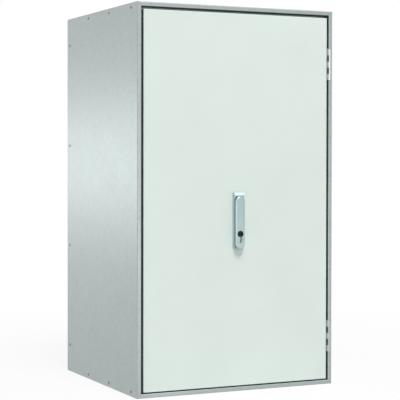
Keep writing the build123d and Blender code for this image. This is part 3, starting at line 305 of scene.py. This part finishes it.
def hinge_steel(name, dark, light):
    """Ground stainless steel: leaves painted darker on the lower hinge and brighter on the upper, as painted
    light, and barrels painted dark as the shade of the door gap.
    """
    made, tree, place = blank(name)
    # painted light: the leaves run from c2c7c6 on the lower hinge to eef0f0 on the upper, as the light falls
    height = add(tree, "ShaderNodeSeparateXYZ", {"Vector": place}).outputs["Z"]
    low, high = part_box("lower_hinge_pin")[1][2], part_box("upper_hinge_pin")[0][2]
    up = add(tree, "ShaderNodeMapRange", {"Value": height, "From Min": low, "From Max": high})
    leaf_painted_light = {0: up, 6: linear("c2c7c6"), 7: linear("eef0f0")}
    # painted shade: near the hinge axis the barrels take the dark tones
    knuckle_mottle = add(tree, "ShaderNodeTexNoise", {"Vector": place, "Scale": per(4)})
    reach = distance(tree, place, axis_of["door_hinge"], (1, 1, 0))
    start, end = KNUCKLE_SHADE_EDGE
    colour = {
        0: add(tree, "ShaderNodeMapRange", {"Value": reach, "From Min": start, "From Max": end}),
        6: tones(tree, knuckle_mottle, dark, light),
        7: add(tree, "ShaderNodeMix", leaf_painted_light, data_type="RGBA"),
    }
    return shade(made, tree, {
        "Base Color": add(tree, "ShaderNodeMix", colour, data_type="RGBA"),
        "Metallic": 1.0,
        "Roughness": 0.3,
        "Normal": relief(tree, place, 0.5, 0.01, (1, 1, 0.05)),
    })


def handle_metal():
    """Zinc die casting with satin silver plating, a little green and blue.

    It is painted dark where the lever meets its base, as painted shade in the gap between them.
    """
    made, tree, place = blank("satin_plated_zinc_casting")
    cloud = add(tree, "ShaderNodeTexNoise", {"Vector": place, "Scale": per(25), "Detail": 3.0})
    # painted shade: near the lever's back the casting darkens towards 596362, as the shade between lever and base
    low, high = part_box("handle_lever")
    seam_low = (low[0] - MM, high[1] - LEVER_SEAM, low[2] - MM)
    seam_high = (high[0] + MM, high[1] + SEAM_SPILL, high[2] + MM)
    seam_shade = add(tree, "ShaderNodeMapRange", {
        "Value": outside(tree, place, seam_low, seam_high),
        "From Min": -SEAM_FADE, "From Max": 0.0, "To Min": 1.0, "To Max": 0.0,
    })
    colour = {0: seam_shade, 6: tones(tree, cloud, "a5b9b9", "afc0c0"), 7: linear("596362")}
    gloss = {"Value": cloud, **MIDDLE, "To Min": 0.3, "To Max": 0.36}
    return shade(made, tree, {
        "Base Color": add(tree, "ShaderNodeMix", colour, data_type="RGBA"),
        "Metallic": 1.0,
        "Roughness": add(tree, "ShaderNodeMapRange", gloss),
        "Normal": relief(tree, place, 0.7, 0.01),
    })


def lock_brass():
    """Nickel-plated brass: pale and satin on the tail, painted near black round the keyhole as the shade in the
    lever's opening.
    """
    made, tree, place = blank("nickel_plated_lock_brass")
    # painted shade: round the keyhole the plug turns near black, as the shade in the lever's opening
    lock_mottle = add(tree, "ShaderNodeTexNoise", {"Vector": place, "Scale": per(1.5)})
    keyhole = (axis_of["key_turn"][0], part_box("lock_cylinder")[0][1], axis_of["key_turn"][2])
    reach = distance(tree, place, keyhole, (1, 1, 1))
    start, end = KEYHOLE_SHADE_EDGE
    unshaded = add(tree, "ShaderNodeMapRange", {"Value": reach, "From Min": start, "From Max": end})
    colour = {
        0: unshaded,
        6: tones(tree, lock_mottle, "15191a", "4a5251"),
        7: tones(tree, lock_mottle, "d4dad8", "e0e5e3"),
    }
    gloss = {"Value": unshaded, "To Min": 0.5, "To Max": 0.34}
    return shade(made, tree, {
        "Base Color": add(tree, "ShaderNodeMix", colour, data_type="RGBA"),
        "Metallic": 1.0,
        "Roughness": add(tree, "ShaderNodeMapRange", gloss),
        "Normal": relief(tree, place, 0.5, 0.01),
    })


def plain(name, dark, light, blotch, roughness, grain, depth, ior):
    """A plastic or rubber: two close tones in blotches, and a grain, sized in millimetres."""
    made, tree, place = blank(name)
    cloud = add(tree, "ShaderNodeTexNoise", {"Vector": place, "Scale": per(blotch), "Detail": 3.0})
    gloss = {"Value": cloud, **MIDDLE}
    gloss.update({"To Min": roughness - PLASTIC_UNEVEN, "To Max": roughness + PLASTIC_UNEVEN})
    return shade(made, tree, {
        "Base Color": tones(tree, cloud, dark, light),
        "Roughness": add(tree, "ShaderNodeMapRange", gloss),
        "IOR": ior,
        "Normal": relief(tree, place, grain, depth),
    })


# The grain of plating, casting and moulding is too fine to show, so all of it is drawn coarser.
finish = {
    "body_sheet": coated_sheet(),
    "door_paint": powder_coat(),
    # blind rivets of duller aluminium alloy, toned darker also as painted shade on their domed heads: they read as
    # darker dots along the panels
    "rivets": metal(
        "dull_aluminium_rivet", "787f80", "8a9192",
        blotch=3, roughness=0.5, grain=0.8, depth=0.02,
    ),
    # painted light and shade: upper hinge leaves lighter than the lower, knuckles dark as the door gap's shade
    "hinge_steel": hinge_steel("ground_stainless_steel", "7f8484", "b0b4b4"),
    # satin plating over a casting: cool silver
    "handle_metal": handle_metal(),
    # a round keyhole end painted dark as shade in the lever's opening, over a pale tail
    "lock_brass": lock_brass(),
    # zinc die casting as cast: matt and slightly grainy
    "cast_case": metal(
        "zinc_die_casting", "8b8f90", "9da1a2",
        blotch=14, roughness=0.5, grain=1.1, depth=0.05,
    ),
    # cold-drawn steel with bright zinc plating: a fine grain along the rods
    "rod_steel": metal(
        "zinc_plated_drawn_steel", "b4b5ac", "c3c4bc",
        blotch=18, roughness=0.3, grain=0.6, depth=0.02, stretch=(1, 1, 0.06),
    ),
    # hot-dip galvanised sheet, with larger blotches
    "zinc_plate": metal(
        "galvanised_sheet", "a9adb0", "c0c4c6",
        blotch=9, roughness=0.36, grain=1.4, depth=0.02,
    ),
    # small hardware with bright zinc plating
    "fasteners": metal(
        "zinc_plated_hardware", "b2b4b0", "c5c7c4",
        blotch=5, roughness=0.28, grain=0.5, depth=0.01,
    ),
    # plain turned brass
    "brass_nut": metal(
        "turned_brass", "b99a54", "cdb069",
        blotch=4, roughness=0.26, grain=0.4, depth=0.01,
    ),
    # foamed sealing rubber, open-pored and black
    "seal_rubber": plain(
        "foamed_sealing_rubber", "17181a", "222326",
        blotch=6, roughness=0.82, grain=0.9, depth=0.15, ior=1.5,
    ),
    # moulded polyamide with a fine spark-eroded grain
    "guide_plastic": plain(
        "moulded_polyamide", "1d1e20", "27282b",
        blotch=8, roughness=0.48, grain=0.5, depth=0.04, ior=1.53,
    ),
}

# the knuckles that swing with the door take darker barrel tones, painted shade in the door gap
knuckle_shade_steel = hinge_steel("stainless_steel_knuckle_shade", "3f4444", "6a6f6f")

for row in frame["record"]["subparts"]:
    door_leaf_part = "hinge_door_leaf" in row["node"]
    mesh = nodes[row["node"]].data
    mesh.materials.clear()
    mesh.materials.append(knuckle_shade_steel if door_leaf_part else finish[row["material_slot"]])


# Surfaces from grids of points


def surface(name, grids, body, slot, replaced=()):
    """One piece from grids of points: a quad joins four neighbours, and points at poles merge.

    A grid is its points, row by row, and whether its last row joins its first and whether its
    last column joins its first.
    """
    corners, quads, count = [], [], 0
    for points, rows_close, columns_close in grids:
        rows, columns = points.shape[:2]
        steps = np.arange(rows - 1 + rows_close), np.arange(columns - 1 + columns_close)
        row, column = np.meshgrid(*steps)
        below, beside = (row + 1) % rows, (column + 1) % columns
        ring = [
            row * columns + column,
            row * columns + beside,
            below * columns + beside,
            below * columns + column,
        ]
        corners.append(points.reshape(-1, 3))
        quads.append(np.stack(ring, axis=-1).reshape(-1, 4) + count)
        count += rows * columns
    mesh = bpy.data.meshes.new(name)
    mesh.from_pydata(np.concatenate(corners).tolist(), [], np.concatenate(quads).tolist())
    shell = bmesh.new()
    shell.from_mesh(mesh)
    bmesh.ops.remove_doubles(shell, verts=shell.verts, dist=MERGE)
    bmesh.ops.recalc_face_normals(shell, faces=shell.faces)
    shell.to_mesh(mesh)
    shell.free()
    mesh.shade_smooth()
    mesh.set_sharp_from_angle(angle=SHARP_EDGE)
    mesh.materials.append(finish[slot])
    made = bpy.data.objects.new(name, mesh)
    bpy.context.scene.collection.objects.link(made)
    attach(made, body)
    if replaced:
        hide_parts(*replaced)


def angles():
    """Angles of the points round a turned piece."""
    return np.arange(ROUND) * (2 * np.pi / ROUND)


def hexagon(turn=0.0):
    """Distance of a hexagon's edge from its middle at each angle, where a corner is 1 away."""
    return math.cos(math.pi / 6) / np.cos((angles() - turn) % (np.pi / 3) - np.pi / 6)


def turned(rise, radius, centre, along):
    """Turned grid: the centre, plus rise along the axis, plus radius at each angle square to it.

    Rise has one value for each row, and radius one for each row, or for each row and angle.
    """
    along = np.array(along, float)
    side = np.roll(np.abs(along), 1)
    across = np.cross(along, side)
    spin = np.cos(angles())[:, None] * side + np.sin(angles())[:, None] * across
    radius = np.broadcast_to(radius, (len(rise), ROUND))
    points = np.array(centre) + rise[:, None, None] * along + radius[:, :, None] * spin
    return points, False, True


def corners_of(node):
    """Corners of a CAD node's mesh."""
    mesh = nodes[node].data
    flat = np.empty(3 * len(mesh.vertices))
    mesh.vertices.foreach_get("co", flat)
    return flat.reshape(-1, 3)


def solids(node, along):
    """Box of each fastener of a CAD node: its corners lie near one another, square to its axis."""
    corners, boxes, square = corners_of(node), [], 1 - np.abs(along)
    while len(corners):
        near = np.linalg.norm((corners - corners[0]) * square, axis=1) < SOLID_REACH
        boxes.append((corners[near].min(axis=0), corners[near].max(axis=0)))
        corners = corners[~near]
    return boxes


# Fasteners


def blind_rivets(name, node, out):
    """Set blind rivets: a hollow head round the broken mandrel, and the bulb inside.

    Each is a profile of radius and height over the panel's face, in millimetres, turned about X,
    and the head's dome is a quarter of an ellipse.
    """
    bend = np.linspace(0, np.pi / 2, 7)
    mandrel_r, mandrel = [0, 0.9, 1.0, 1.0, 1.4, 1.4], [0.55, 0.55, 0.45, 0.3, 0.3, 1.0]
    dome_r, dome = 1.7 + 2.3 * np.sin(bend), 0.2 + np.cos(bend)
    shank_r, shank = [4.0, 2.0, 2.0, 2.8, 2.8, 2.2, 0], [0, 0, -3.0, -3.2, -4.9, -5.5, -5.5]
    radius = np.concatenate([mandrel_r, dome_r, shank_r]) * MM
    rise = np.concatenate([mandrel, dome, shank]) * MM
    grids = []
    for low, high in solids(node, (1, 0, 0)):
        centre = (low + high) / 2
        centre[0] = (high if out > 0 else low)[0] - out * RIVET_HEAD
        grids.append(turned(rise, radius[:, None], centre, (out, 0, 0)))
    surface(name, grids, "cabinet", "rivets", [node])


def nuts(name, node, along, bore, body, slot):
    """Hexagon nuts: the wall is the nearer of a hexagon and, towards each end, a cone."""
    axis = int(np.argmax(np.abs(along)))
    side, across = (axis + 1) % 3, (axis + 2) % 3
    mouth = bore + BORE_LEAD
    inside = np.repeat([[mouth], [bore], [bore], [mouth]], ROUND, axis=1)
    grids = []
    for low, high in solids(node, along):
        wide, height = high - low, (high - low)[axis]
        corner = max(wide[side], wide[across]) / 2
        face = NUT_FACE * corner * math.cos(math.pi / 6)
        slope = (corner - face) * math.tan(NUT_CONE)
        wall = np.concatenate([height - np.linspace(0, slope, 5), np.linspace(slope, 0, 5)])
        cone = face + np.minimum(wall, height - wall) / math.tan(NUT_CONE)
        turn = 0.0 if wide[side] > wide[across] else math.pi / 6
        outer = np.minimum(corner * hexagon(turn), cone[:, None])
        rise = np.concatenate([[0, BORE_LEAD, height - BORE_LEAD, height], wall])
        centre = (low + high) / 2
        centre[axis] = low[axis]
        points = turned(rise, np.concatenate([inside, outer]), centre, np.eye(3)[axis])[0]
        grids.append((points, True, True))
    surface(name, grids, body, slot, [node])


def studs(name, node, along, radius, pitch, body, shoulder=0.0):
    """Threaded studs, some with a shoulder.

    The thread's radius is its crest's, less a triangle wave of height over pitch less angle.
    """
    axis = int(np.argmax(np.abs(along)))
    depth = THREAD_DEPTH * pitch
    grids = []
    for low, high in solids(node, along):
        length = (high - low)[axis]
        rows = np.arange(shoulder, length, pitch / THREAD_ROWS)
        turn = rows[:, None] / pitch - angles() / (2 * np.pi)
        runout = np.clip((rows - shoulder) / pitch, 0, 1)[:, None]
        thread = radius - depth * runout * np.abs(2 * (turn % 1) - 1)
        thread = np.minimum(thread, radius - depth + length - rows[:, None])
        foot = max((high - low)[(axis + 1) % 3] / 2, radius)
        end = np.zeros((1, ROUND))
        profile = np.concatenate([end, np.full((2, ROUND), foot), thread, end])
        rise = np.concatenate([[0, 0, shoulder], rows, [length]])
        centre = (low + high) / 2
        centre[axis] = low[axis] if along[axis] > 0 else high[axis]
        grids.append(turned(rise, profile, centre, along))
    surface(name, grids, body, "fasteners", [node])


def socket_screws(name, node, body, head, head_height, shank, socket):
    """Screws with a hexagon socket: the radius is the socket's hexagon inside, and round outside.

    Head, shank and socket are radii, the socket's to its corners.
    """
    mouth, tip, tip_height = 1.15 * socket, 0.7 * shank, 0.5 * shank
    bend = np.linspace(0, np.pi / 2, 5)
    rim_r = head - HEAD_ROUNDING + HEAD_ROUNDING * np.sin(bend)
    round_r = np.array([mouth, *rim_r, head, shank, shank, tip, 0])
    outer = np.repeat(round_r[:, None], ROUND, axis=1)
    hollow = np.array([0, socket, socket])[:, None] * hexagon()
    grids = []
    for low, high in solids(node, (0, 1, 0)):
        top = high[1] - low[1]
        seat = top - head_height
        deep = top - SOCKET_DEPTH * head_height
        rim = top - HEAD_ROUNDING + HEAD_ROUNDING * np.cos(bend)
        rise = np.array([deep, deep, top - SOCKET_LEAD, top, *rim, seat, seat, tip_height, 0, 0])
        centre = (low + high) / 2
        centre[1] = low[1]
        grids.append(turned(rise, np.concatenate([hollow, outer]), centre, (0, 1, 0)))
    surface(name, grids, body, "fasteners", [node])


plate_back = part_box("mounting_plate")[1][1]
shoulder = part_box("mounting_plate_studs")[1][1] - plate_back
first_gland_stud = solids("gland_plate_studs", (0, 0, 1))[0]
m6_radius = (first_gland_stud[1] - first_gland_stud[0])[0] / 2

blind_rivets("left_blind_rivets", "left_side_rivets", -1)
blind_rivets("right_blind_rivets", "right_side_rivets", 1)
studs(
    "gland_plate_threads", "gland_plate_studs", (0, 0, 1),
    m6_radius, M6_PITCH, "cabinet",
)
studs(
    "mounting_plate_threads", "mounting_plate_studs", (0, -1, 0),
    M8_RADIUS, M8_PITCH, "cabinet", shoulder,
)
studs("earth_stud_thread", "earth_stud", (0, 0, 1), M8_RADIUS, M8_PITCH, "cabinet")
studs("door_earth_stud_thread", "door_earth_stud", (0, 1, 0), M8_RADIUS, M8_PITCH, "door")
nuts(
    "gland_plate_hexagon_nuts", "gland_plate_nuts", (0, 0, 1),
    m6_radius, "cabinet", "fasteners",
)
nuts(
    "mounting_plate_hexagon_nuts", "mounting_plate_nuts", (0, 1, 0),
    M8_RADIUS, "cabinet", "fasteners",
)
nuts("earth_hexagon_nut", "earth_nut", (0, 0, 1), M8_RADIUS, "cabinet", "brass_nut")
nuts("door_earth_hexagon_nut", "door_earth_nut", (0, 1, 0), M8_RADIUS, "door", "brass_nut")
socket_screws(
    "handle_socket_screws", "handle_screws", "door",
    head=4.5 * MM, head_height=3.2 * MM, shank=2.5 * MM, socket=2.3 * MM,
)
socket_screws(
    "gear_case_socket_screws", "rod_gear_screws", "door",
    head=3.5 * MM, head_height=2.4 * MM, shank=2.0 * MM, socket=1.7 * MM,
)


# Welds


def bead(start, end, out, width, height):
    """Weld bead: an ellipse carried from start to end, scaled by its ripples and round tapers."""
    start, end, out = (np.array(value, float) for value in (start, end, out))
    length = np.linalg.norm(end - start)
    side = np.cross((end - start) / length, out)
    along = np.linspace(0, 1, int(BEAD_ROWS * length / RIPPLE))
    taper = (1 - np.abs(2 * along - 1) ** BEAD_TAPER) ** 0.5
    ripples = 1 + RIPPLE_SWELL * np.sin(2 * np.pi * along * length / RIPPLE)
    scale = (taper * ripples)[:, None, None]
    angle = np.linspace(0, 2 * np.pi, BEAD_POINTS, endpoint=False)[None, :, None]
    ring = scale * (width / 2 * np.cos(angle) * side + height * np.sin(angle) * out)
    return start + along[:, None, None] * (end - start) + ring, False, True


def stiffener_welds():
    """Stitches along both feet of the door's stiffeners."""
    corners = corners_of("door_stiffeners")
    low, high = corners.min(axis=0), corners.max(axis=0)
    edges = corners[corners[:, 0] > 0][:, 0]
    heights = np.linspace(low[2] + STITCH_INSET, high[2] - STITCH_INSET - STITCH, STITCHES)
    grids = []
    for x in (edges.min(), edges.max(), -edges.min(), -edges.max()):
        for z in heights:
            start, end = (x, low[1], z), (x, low[1], z + STITCH)
            grids.append(bead(start, end, (0, 1, 0), width=4 * MM, height=1.3 * MM))
    surface("stiffener_weld_beads", grids, "door", "door_paint")


def strap_welds():
    """Short beads along both feet of each rod strap."""
    grids = []
    for node in ("upper_rod_strap", "lower_rod_strap"):
        low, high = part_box(node)
        for x in (low[0], high[0]):
            start, end = (x, low[1], low[2]), (x, low[1], high[2])
            grids.append(bead(start, end, (0, 1, 0), width=3.5 * MM, height=1.2 * MM))
    surface("rod_strap_weld_beads", grids, "door", "door_paint")


def mitre_welds():
    """Low beads across the mitred corners of the door's lip."""
    low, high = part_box("door_panel")
    grids = []
    for x, way_x in ((low[0], 1), (high[0], -1)):
        for z, way_z in ((low[2], 1), (high[2], -1)):
            start = (x + way_x * MITRE_START, high[1], z + way_z * MITRE_START)
            end = (x + way_x * MITRE_END, high[1], z + way_z * MITRE_END)
            grids.append(bead(start, end, (0, 1, 0), width=3 * MM, height=0.4 * MM))
    surface("door_corner_weld_beads", grids, "door", "door_paint")


def hinge_welds():
    """Bead along the back edge of each hinge's door leaf."""
    grids = []
    for node in ("upper_hinge_door_leaf", "lower_hinge_door_leaf"):
        low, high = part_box(node)
        start = (low[0], high[1], low[2] + LEAF_INSET)
        end = (low[0], high[1], high[2] - LEAF_INSET)
        grids.append(bead(start, end, (1, 0, 0), width=2.5 * MM, height=1.0 * MM))
    surface("hinge_weld_beads", grids, "door", "hinge_steel")


def stud_welds():
    """Weld flash round each mounting stud's foot: a circle that swells, carried round the stud."""
    angle = angles()
    swell = 1 + FLASH_SWELL * np.sin(FLASH_RIPPLES * angle)
    section = np.linspace(0, 2 * np.pi, FLASH_POINTS, endpoint=False)[:, None]
    grids = []
    for low, high in solids("mounting_plate_studs", (0, 1, 0)):
        middle = (low + high) / 2
        ring = (high - low)[0] / 2 + FLASH * swell * np.cos(section)
        points = np.stack([
            middle[0] + ring * np.cos(angle),
            high[1] + FLASH * swell * np.sin(section),
            middle[2] + ring * np.sin(angle),
        ], axis=-1)
        grids.append((points, True, True))
    surface("stud_weld_flash", grids, "cabinet", "fasteners")


stiffener_welds()
strap_welds()
mitre_welds()
hinge_welds()
stud_welds()


def foamed_seal():
    """Seal foamed in place: a dome carried round the door's lip, uneven as the foam sets.

    The middle line is a rectangle with round corners, measured by its length. The section is
    height times (1 - |t| ** power) ** (1 / power), for t from one edge to the other, and the
    height strays from its mean by a sum of sine waves round the door.
    """
    low, high = (np.array(corner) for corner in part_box("door_gasket"))
    middle = (low + high) / 2
    half = (high - low)[[0, 2]] / 2 - GASKET_WIDTH / 2
    turn = np.linspace(0, np.pi / 2, 9)
    quarter = np.stack([np.cos(turn), np.sin(turn)], axis=-1)
    arcs = []
    for number in range(4):
        spin = number * np.pi / 2
        way = np.array([[np.cos(spin), np.sin(spin)], [-np.sin(spin), np.cos(spin)]])
        corner = np.sign(np.array([1, 1]) @ way) * (half - GASKET_BEND)
        arcs.append(corner + GASKET_BEND * quarter @ way)
    path = np.concatenate([*arcs, arcs[0][:1]])
    run = np.concatenate([[0], np.cumsum(np.linalg.norm(np.diff(path, axis=0), axis=1))])
    steps = np.linspace(0, run[-1], SEAL_STEPS, endpoint=False)
    line = np.stack([np.interp(steps, run, path[:, axis]) for axis in (0, 1)], axis=-1)
    ahead = np.roll(line, -1, axis=0) - np.roll(line, 1, axis=0)
    ahead /= np.linalg.norm(ahead, axis=1, keepdims=True)
    outward = np.stack([ahead[:, 1], -ahead[:, 0]], axis=-1)
    phase = 2 * np.pi * steps / run[-1]
    rise = FOAM_RISE
    for wave, number, shift in FOAM_WAVES:
        rise = rise + wave * np.sin(number * phase + shift)
    top, foot = np.linspace(-1, 1, DOME_POINTS), np.linspace(1, -1, FOOT_POINTS)[1:-1]
    dome = (1 - np.abs(top) ** DOME_POWER) ** (1 / DOME_POWER)
    dome = np.concatenate([dome, np.zeros(len(foot))])
    edge_to_edge = np.concatenate([top, foot])[:, None]
    across = line[:, None, :] + GASKET_WIDTH / 2 * edge_to_edge * outward[:, None, :]
    height = low[1] + (high - low)[1] * rise[:, None] * dome
    points = np.stack([middle[0] + across[..., 0], height, middle[2] + across[..., 1]], axis=-1)
    surface("foamed_door_seal", [(points, True, True)], "door", "seal_rubber", ["door_gasket"])


foamed_seal()


# Studio


def seen_directly(tree):
    """1 where a ray comes from the camera, or from the object's reflection or glass, else 0."""
    path = add(tree, "ShaderNodeLightPath").outputs
    first_two = {0: path["Is Camera Ray"], 1: path["Is Glossy Ray"]}
    all_three = {
        0: add(tree, "ShaderNodeMath", first_two, operation="MAXIMUM"),
        1: path["Is Transmission Ray"],
    }
    return add(tree, "ShaderNodeMath", all_three, operation="MAXIMUM")


def studio_floor():
    """White floor that shows plain white away from the cabinet and keeps its soft shadow."""
    corners = [(-1, -1, 0), (1, -1, 0), (1, 1, 0), (-1, 1, 0)]
    corners = [(x * FLOOR_HALF, y * FLOOR_HALF, z) for x, y, z in corners]
    mesh = bpy.data.meshes.new("studio_floor")
    mesh.from_pydata(corners, [], [(0, 1, 2, 3)])
    floor = bpy.data.objects.new("studio_floor", mesh)
    bpy.context.scene.collection.objects.link(floor)
    made, tree, place = blank("white_studio_floor")
    cloud = add(tree, "ShaderNodeTexNoise", {"Vector": place, "Scale": per(300)})
    matt = add(tree, "ShaderNodeBsdfDiffuse", {"Color": tones(tree, cloud, "f4f4f4", "f8f8f8")})
    glow = add(tree, "ShaderNodeEmission", {"Strength": 1.0})
    white = add(tree, "ShaderNodeMapRange", {
        "Value": distance(tree, place, (0, 0, 0), (1, 1, 0)),
        "From Min": FLOOR_NEAR, "From Max": FLOOR_FAR, "To Min": FLOOR_SHARE_OF_WHITE,
    })
    share = add(tree, "ShaderNodeMath", {0: seen_directly(tree), 1: white}, operation="MULTIPLY")
    mix = add(tree, "ShaderNodeMixShader", {0: share, 1: matt, 2: glow})
    add(tree, "ShaderNodeOutputMaterial", {"Surface": mix})
    mesh.materials.append(made)


def studio_world():
    """White surroundings at a strength of 1, and a plain ambient level on matt surfaces."""
    world = bpy.data.worlds.new("white_studio")
    world.use_nodes = True
    bpy.context.scene.world = world
    tree = world.node_tree
    tree.nodes.clear()
    strength = add(tree, "ShaderNodeMapRange", {
        "Value": seen_directly(tree), "To Min": AMBIENT, "To Max": 1.0,
    })
    sky = add(tree, "ShaderNodeBackground", {"Color": (1, 1, 1, 1), "Strength": strength})
    add(tree, "ShaderNodeOutputWorld", {"Surface": sky})


def softbox(name, place, target, width, height, power):
    """White area lamp at place, turned to target, with its power in watts and hidden from view."""
    lamp = bpy.data.lights.new(name, "AREA")
    lamp.shape = "RECTANGLE"
    lamp.size = width
    lamp.size_y = height
    lamp.energy = power
    holder = bpy.data.objects.new(name, lamp)
    bpy.context.scene.collection.objects.link(holder)
    holder.location = place
    holder.rotation_euler = (Vector(target) - Vector(place)).to_track_quat("-Z", "Y").to_euler()
    holder.visible_camera = False


def photo_camera():
    """Camera of the photograph, turned to the cabinet's left and tilted slightly down."""
    data = bpy.data.cameras.new("photo_camera")
    data.sensor_width = SENSOR
    data.lens = SENSOR * FOCAL_PIXELS / PHOTO_PIXELS
    data.shift_y = -AXIS_PIXELS_UP / PHOTO_PIXELS
    camera = bpy.data.objects.new("photo_camera", data)
    bpy.context.scene.collection.objects.link(camera)
    camera.location = CAMERA_PLACE
    ahead = Vector((
        math.sin(CAMERA_TURN) * math.cos(CAMERA_TILT),
        math.cos(CAMERA_TURN) * math.cos(CAMERA_TILT),
        math.sin(CAMERA_TILT),
    ))
    level = ahead.to_track_quat("-Z", "Y")
    camera.rotation_euler = (Quaternion(ahead, -CAMERA_ROLL) @ level).to_euler()
    bpy.context.scene.camera = camera


bpy.context.scene.view_settings.view_transform = "Standard"
photo_camera()
studio_world()
studio_floor()
softbox("high_front_key", (-0.4, -3.9, 6.8), (0, -0.27, 0.5), width=2.6, height=2.6, power=414)
softbox("low_front_fill", (0, -3.5, 0.3), (0, -0.27, 0.4), width=1.5, height=0.6, power=12)
softbox("hood_accent", (1.35, -1.38, 2.98), (0, -0.28, 0.54), width=0.8, height=0.8, power=3)
softbox("rear_side_strip", (-1.9, 2.6, 0.62), (-0.3, 0, 0.6), width=1.6, height=0.5, power=5.1)
softbox("right_fill", (3.4, -0.8, 0.9), (0, -0.1, 0.5), width=2.0, height=2.0, power=8)
